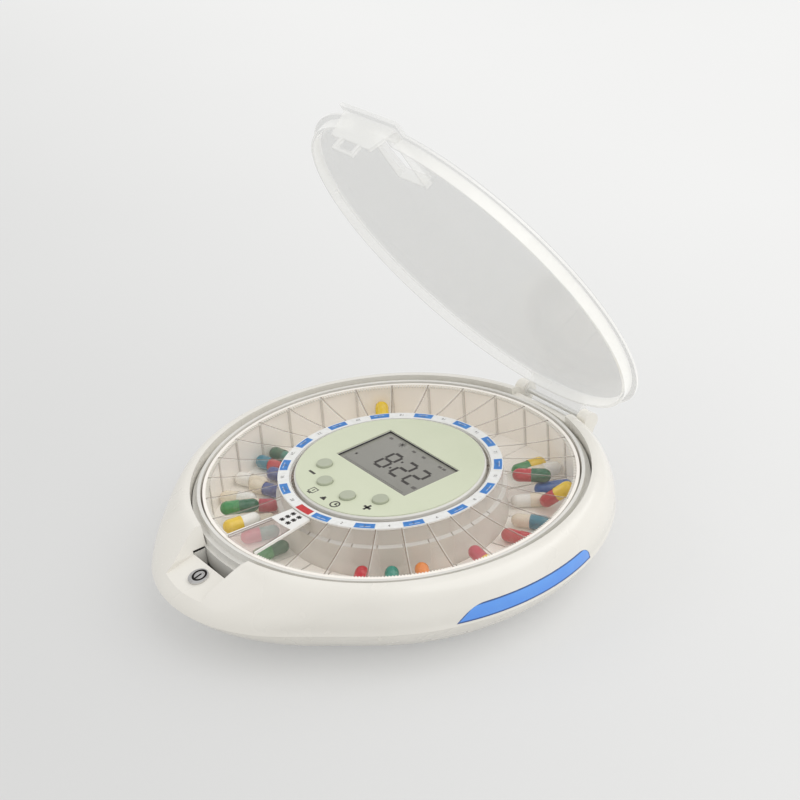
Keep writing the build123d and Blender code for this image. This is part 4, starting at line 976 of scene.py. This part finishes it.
row_y = lcd_y + 12.2
faint_marks = [bar(x, row_y, 2.2, 1.3) for x in (-20.6, -3.5, 3.7, 15.5, 18.4)]
faint_marks += [bar(-12.2, row_y, 4.0, 0.5, 45 * turn) for turn in range(4)]
faint_marks += [bar(-20.9, lcd_y - 7.5, 1.6, 0.7, turn) for turn in (50, 130)]
faint_marks.append(bar(21.3, lcd_y - 7.1, 2.6, 1.8))
for line in (-13.0, -14.1):
    faint_marks += [bar(-21.5 + 1.5 * step, lcd_y + line, 0.8, 0.5) for step in range(29)]
printed("display_marks", faint_marks, lcd_high.z, ink_grey)

# %% [markdown]
# A black wall lines the opening that the display is seen through, as painted shade for the
# opening's walls. It is one thin wall that runs round a rectangle, made from four loops of
# corners: outside and inside, low and high.

# %% Display opening's painted shade
FRAME_WIDTH = 2.0 * MM
SHADE_LINING_WALL = 0.25 * MM
SHADE_LINING_RISE = 0.5 * MM


def lining(name, low, high, wall, material):
    """A thin upright wall round the inside of a rectangular opening."""
    made = bmesh.new()
    loops = []
    for inset, height in ((0.0, low.z), (0.0, high.z), (wall, high.z), (wall, low.z)):
        west, east = low.x + inset, high.x - inset
        south, north = low.y + inset, high.y - inset
        corners = [(west, south), (east, south), (east, north), (west, north)]
        loops.append([made.verts.new((x, y, height)) for x, y in corners])
    for first, second in zip(loops, loops[1:] + loops[:1]):
        for near in range(4):
            far = (near + 1) % 4
            made.faces.new((first[near], first[far], second[far], second[near]))
    settle(name, made, material, "casing")


opening_low = Vector((lcd_low.x + FRAME_WIDTH, lcd_low.y + FRAME_WIDTH, lcd_high.z + INK))
opening_high = Vector((lcd_high.x - FRAME_WIDTH, lcd_high.y - FRAME_WIDTH, lcd_high.z + SHADE_LINING_RISE))
# Painted shade: a black lining where the display's opening is in shade.
lining("display_recess_shade", opening_low, opening_high, SHADE_LINING_WALL, black_plastic)

# %% [markdown]
# The lid's tongue drops into a pocket behind the lock. The pocket's two ends and its floor are
# thin walls of the casing's moulding. They stand clear of the notch that the tongue needs.

# %% Pocket behind the lock
LINER = 0.2 * MM
SIDE_GAP = 0.3 * MM  # between the notch and an end wall
POCKET_REACH = 2.3 * MM  # from the notch's inner end out to the pocket's front, just short of the shelf
CAM_GAP = 1.5 * MM  # between the pocket's floor and the lock's cam


def slab(made, low, high):
    """Adds a box to a mesh that is being made."""
    place = Matrix.Translation((low + high) / 2) @ Matrix.Diagonal((*(high - low), 1.0))
    bmesh.ops.create_cube(made, size=1.0, matrix=place)


def pocket_liner():
    """Two end walls and a floor, from close behind the shelf in to the tray's well."""
    openings = {item["name"]: item["box_m"] for item in frame["record"]["physics"]["openings"]}
    notch_low, notch_high = (Vector(corner) for corner in openings["front_notch"])
    well_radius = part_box("tray_well")[1].x
    east = notch_high.x + SIDE_GAP
    south = notch_high.y - POCKET_REACH
    north = -((well_radius**2 - east**2) ** 0.5) - LINER
    foot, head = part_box("lock_cam")[0].z - CAM_GAP, notch_low.z
    made = bmesh.new()
    for side in (-1, 1):
        near, far = sorted((side * east, side * (east + LINER)))
        slab(made, Vector((near, south, foot)), Vector((far, north, head)))
    slab(made, Vector((-east, south, foot - LINER)), Vector((east, -well_radius - LINER, foot)))
    settle("pocket_liner", made, inner_white, "casing")


pocket_liner()

# %% [markdown]
# The panel has five symbols beside its keys: a minus, a plus, a box with a stand, a bell and a
# clock. They are generic signs, each built from a few bars and arcs.

# %% Key symbols
KEY_SYMBOLS = {
    "minus": [bar(-19.4, -29.0, 4.3, 1.2)],
    "plus": [bar(21.9, -28.6, 4.4, 1.2), bar(21.9, -28.6, 1.2, 4.4)],
    "box": arc(-6.3, -37.4, 2.4, 0.6, 45, 405, 4) + [bar(-6.3, -39.8, 2.4, 0.7), bar(-6.3, -37.3, 0.6, 1.6)],
    "bell": [bar(2.3, -38.6, 3.0, 0.8), bar(2.3, -37.9, 2.2, 1.0), bar(2.3, -37.1, 1.2, 1.0)],
    "clock": arc(10.0, -37.3, 2.1, 0.7) + [bar(10.0, -36.8, 0.7, 1.6), bar(10.6, -37.3, 1.6, 0.7)],
}
panel_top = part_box("display_fascia")[1].z
printed("key_symbols", sum(KEY_SYMBOLS.values(), []), panel_top, ink_dark)

# %% [markdown]
# The ring has small numbers, one for each dose, on its patches. Blender's own text object gives
# the shapes of the digits, and they are made into a mesh before they are put in their places.

# %% Numbers on the ring
NUMBER_SIZE = 2.3 * MM
NUMBER_INSET = 2.2 * MM  # from the ring's outer edge in to the middle of a number


def number_mesh(number, size):
    """Flat mesh of a number about its own middle, facing up."""
    curve = bpy.data.curves.new("number", "FONT")
    curve.body = str(number)
    curve.size = size
    curve.align_x = "CENTER"
    curve.align_y = "CENTER"
    curve.resolution_u = 2
    text = bpy.data.objects.new("number", curve)
    bpy.context.scene.collection.objects.link(text)
    bpy.context.view_layer.update()
    mesh = bpy.data.meshes.new_from_object(text.evaluated_get(bpy.context.evaluated_depsgraph_get()))
    bpy.data.objects.remove(text)
    return mesh


def ring_numbers():
    """All the numbers as one piece, each upright for a reader outside the ring."""
    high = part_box("dosage_ring")[1]
    radius = high.x - NUMBER_INSET
    joined = bmesh.new()
    for place in range(1, PLACES):
        mesh = number_mesh(place, NUMBER_SIZE)
        angle = HOME + place * STEP
        turn = Matrix.Rotation(angle + pi / 2, 4, "Z")
        spot = Matrix.Translation((radius * cos(angle), radius * sin(angle), high.z + INK))
        mesh.transform(spot @ turn)
        joined.from_mesh(mesh)
        bpy.data.meshes.remove(mesh)
    settle("place_numbers", joined, ink_grey, "tray")


ring_numbers()

# %% [markdown]
# The label on the tray's cover has two columns of three small stars. They stand for the small
# print of such a label and spell nothing.

# %% Label marks
STAR_RADII = (53.0, 56.0, 59.0)  # mm from the tray's axis
STAR_ASIDE = 2.1
STAR_TURNS = (40, 90, 150)
STAR_BAR = (2.6, 0.75)
label_marks = []
for radius in STAR_RADII:
    for side in (-STAR_ASIDE, STAR_ASIDE):
        middle = HOME + side / radius
        x, y = radius * cos(middle), radius * sin(middle)
        label_marks += [bar(x, y, *STAR_BAR, degrees(HOME) + turn) for turn in STAR_TURNS]
printed("label_marks", label_marks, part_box("cover_label")[1].z, ink_dark, "tray")

# %% [markdown]
# ## Floor
#
# The dispenser stands on a seamless pale grey table. One large sheet is enough, with a faint
# mottle. It is paler towards the back and the right, a painted pool of light, and its colour is the
# background of the picture. A photographer's table is lit from all round, so its shadows are pale.
# Part of what the camera sees of the floor is therefore its own colour, unshaded, and the rest keeps
# the object's shadow.

# %% Floor
SHADOW_LIFT = 0.5
FLOOR_HALF = 4.0


def floor_sheet():
    """A pale sheet, a share of which shows its own colour unshaded."""
    material, bench = finish("floor_grey")
    spot, (across, depth, _) = bench.place()
    cloud = bench.noise(spot, 3.0, 3.0).smooth(0.3, 0.7)
    grain = bench.noise(spot, 900.0, 2.0)
    right = bench.math("MAXIMUM", across, 0.0)
    # Painted light: the floor is paler towards the back and the right.
    light = (depth + across * 0.1 + right * 0.5).smooth(-0.28, 0.46)
    tone = (light * 0.94 + cloud * 0.04 + grain * 0.02).tint(paint(217, 217, 216), paint(243, 243, 242))
    sockets = {
        "Base Color": tone,
        "Roughness": cloud * 0.05 + 0.85,
        "Normal": bench.bump(grain, 0.000004),
        "Specular IOR Level": 0.15,
    }
    matt = bench.node("ShaderNodeBsdfPrincipled", None, sockets)
    glow = bench.node("ShaderNodeEmission", None, {"Color": tone, "Strength": 1.0})
    seen = bench.node("ShaderNodeLightPath", None, None, "Is Camera Ray")
    for kind in ("Is Glossy Ray", "Is Transmission Ray"):
        seen = bench.math("MAXIMUM", seen, bench.node("ShaderNodeLightPath", None, None, kind))
    mixed = bench.node("ShaderNodeMixShader", None, {0: seen * SHADOW_LIFT, 1: matt, 2: glow})
    bench.node("ShaderNodeOutputMaterial", None, {"Surface": mixed})
    mesh = bpy.data.meshes.new("floor")
    corners = [(x * FLOOR_HALF, y * FLOOR_HALF, 0) for x, y in ((-1, -1), (1, -1), (1, 1), (-1, 1))]
    mesh.from_pydata(corners, [], [(0, 1, 2, 3)])
    mesh.materials.append(material)
    sheet = bpy.data.objects.new("floor", mesh)
    bpy.context.scene.collection.objects.link(sheet)


floor_sheet()
print("floor", 2 * FLOOR_HALF, "m across")

# %% [markdown]
# ## Light
#
# Soft light from all round comes from the world, and one wide sun from the back right gives the
# soft shadow. Together they light an upward face at a level where a colour looks about as it was
# written. Two broad, weak lamps add long reflections on the gloss shell and the lid.

# %% World and lamps
world = bpy.data.worlds.new("studio")
world.use_nodes = True
world.node_tree.nodes.clear()
air = Bench(world.node_tree)
glow = air.node("ShaderNodeBackground", None, {"Color": paint(252, 252, 252), "Strength": 0.7})
air.node("ShaderNodeOutputWorld", None, {"Surface": glow})
bpy.context.scene.world = world


def lamp(name, kind, place, aim, **settings):
    """A lamp at a place, turned to face a point."""
    light = bpy.data.lights.new(name, kind)
    for key, value in settings.items():
        setattr(light, key, value)
    holder = bpy.data.objects.new(name, light)
    holder.location = place
    holder.rotation_euler = (Vector(aim) - Vector(place)).to_track_quat("-Z", "Y").to_euler()
    bpy.context.scene.collection.objects.link(holder)


centre = (0.0, 0.0, 0.05)
lamp("sun", "SUN", (0.9, 0.5, 1.5), centre, energy=0.85, angle=radians(60))
lamp("left_bank", "AREA", (-0.9, -0.9, 1.1), centre, energy=2.0, shape="RECTANGLE", size=1.2, size_y=0.5)
lamp("back_bank", "AREA", (0.2, 1.5, 1.3), centre, energy=4.0, shape="RECTANGLE", size=1.6, size_y=0.6)
print("lamps:", [item.name for item in bpy.data.lights])

# %% [markdown]
# ## Camera
#
# The camera stands where the photograph's did, to the right of the lock and above it, and looks
# down at about 28 degrees. Its line of sight and the level line of the picture fix its turn.

# %% Camera
CAMERA_PLACE = Vector((0.54318, -0.37171, 0.42772))
SIGHT = Vector((-0.72177, 0.50511, -0.47320)).normalized()
ACROSS = Vector((0.60286, 0.79465, -0.07131)).normalized()
lens = bpy.data.cameras.new("camera")
lens.lens = 76.67
lens.sensor_width = 36.0
lens.clip_start = 0.01
camera = bpy.data.objects.new("camera", lens)
upward = ACROSS.cross(SIGHT)
turned = Matrix((ACROSS, upward, -SIGHT)).transposed()
camera.matrix_world = Matrix.Translation(CAMERA_PLACE) @ turned.to_4x4()
bpy.context.scene.collection.objects.link(camera)
bpy.context.scene.camera = camera
bpy.context.scene.view_settings.view_transform = "Standard"
print("camera at", [round(value, 3) for value in CAMERA_PLACE])

# %% [markdown]
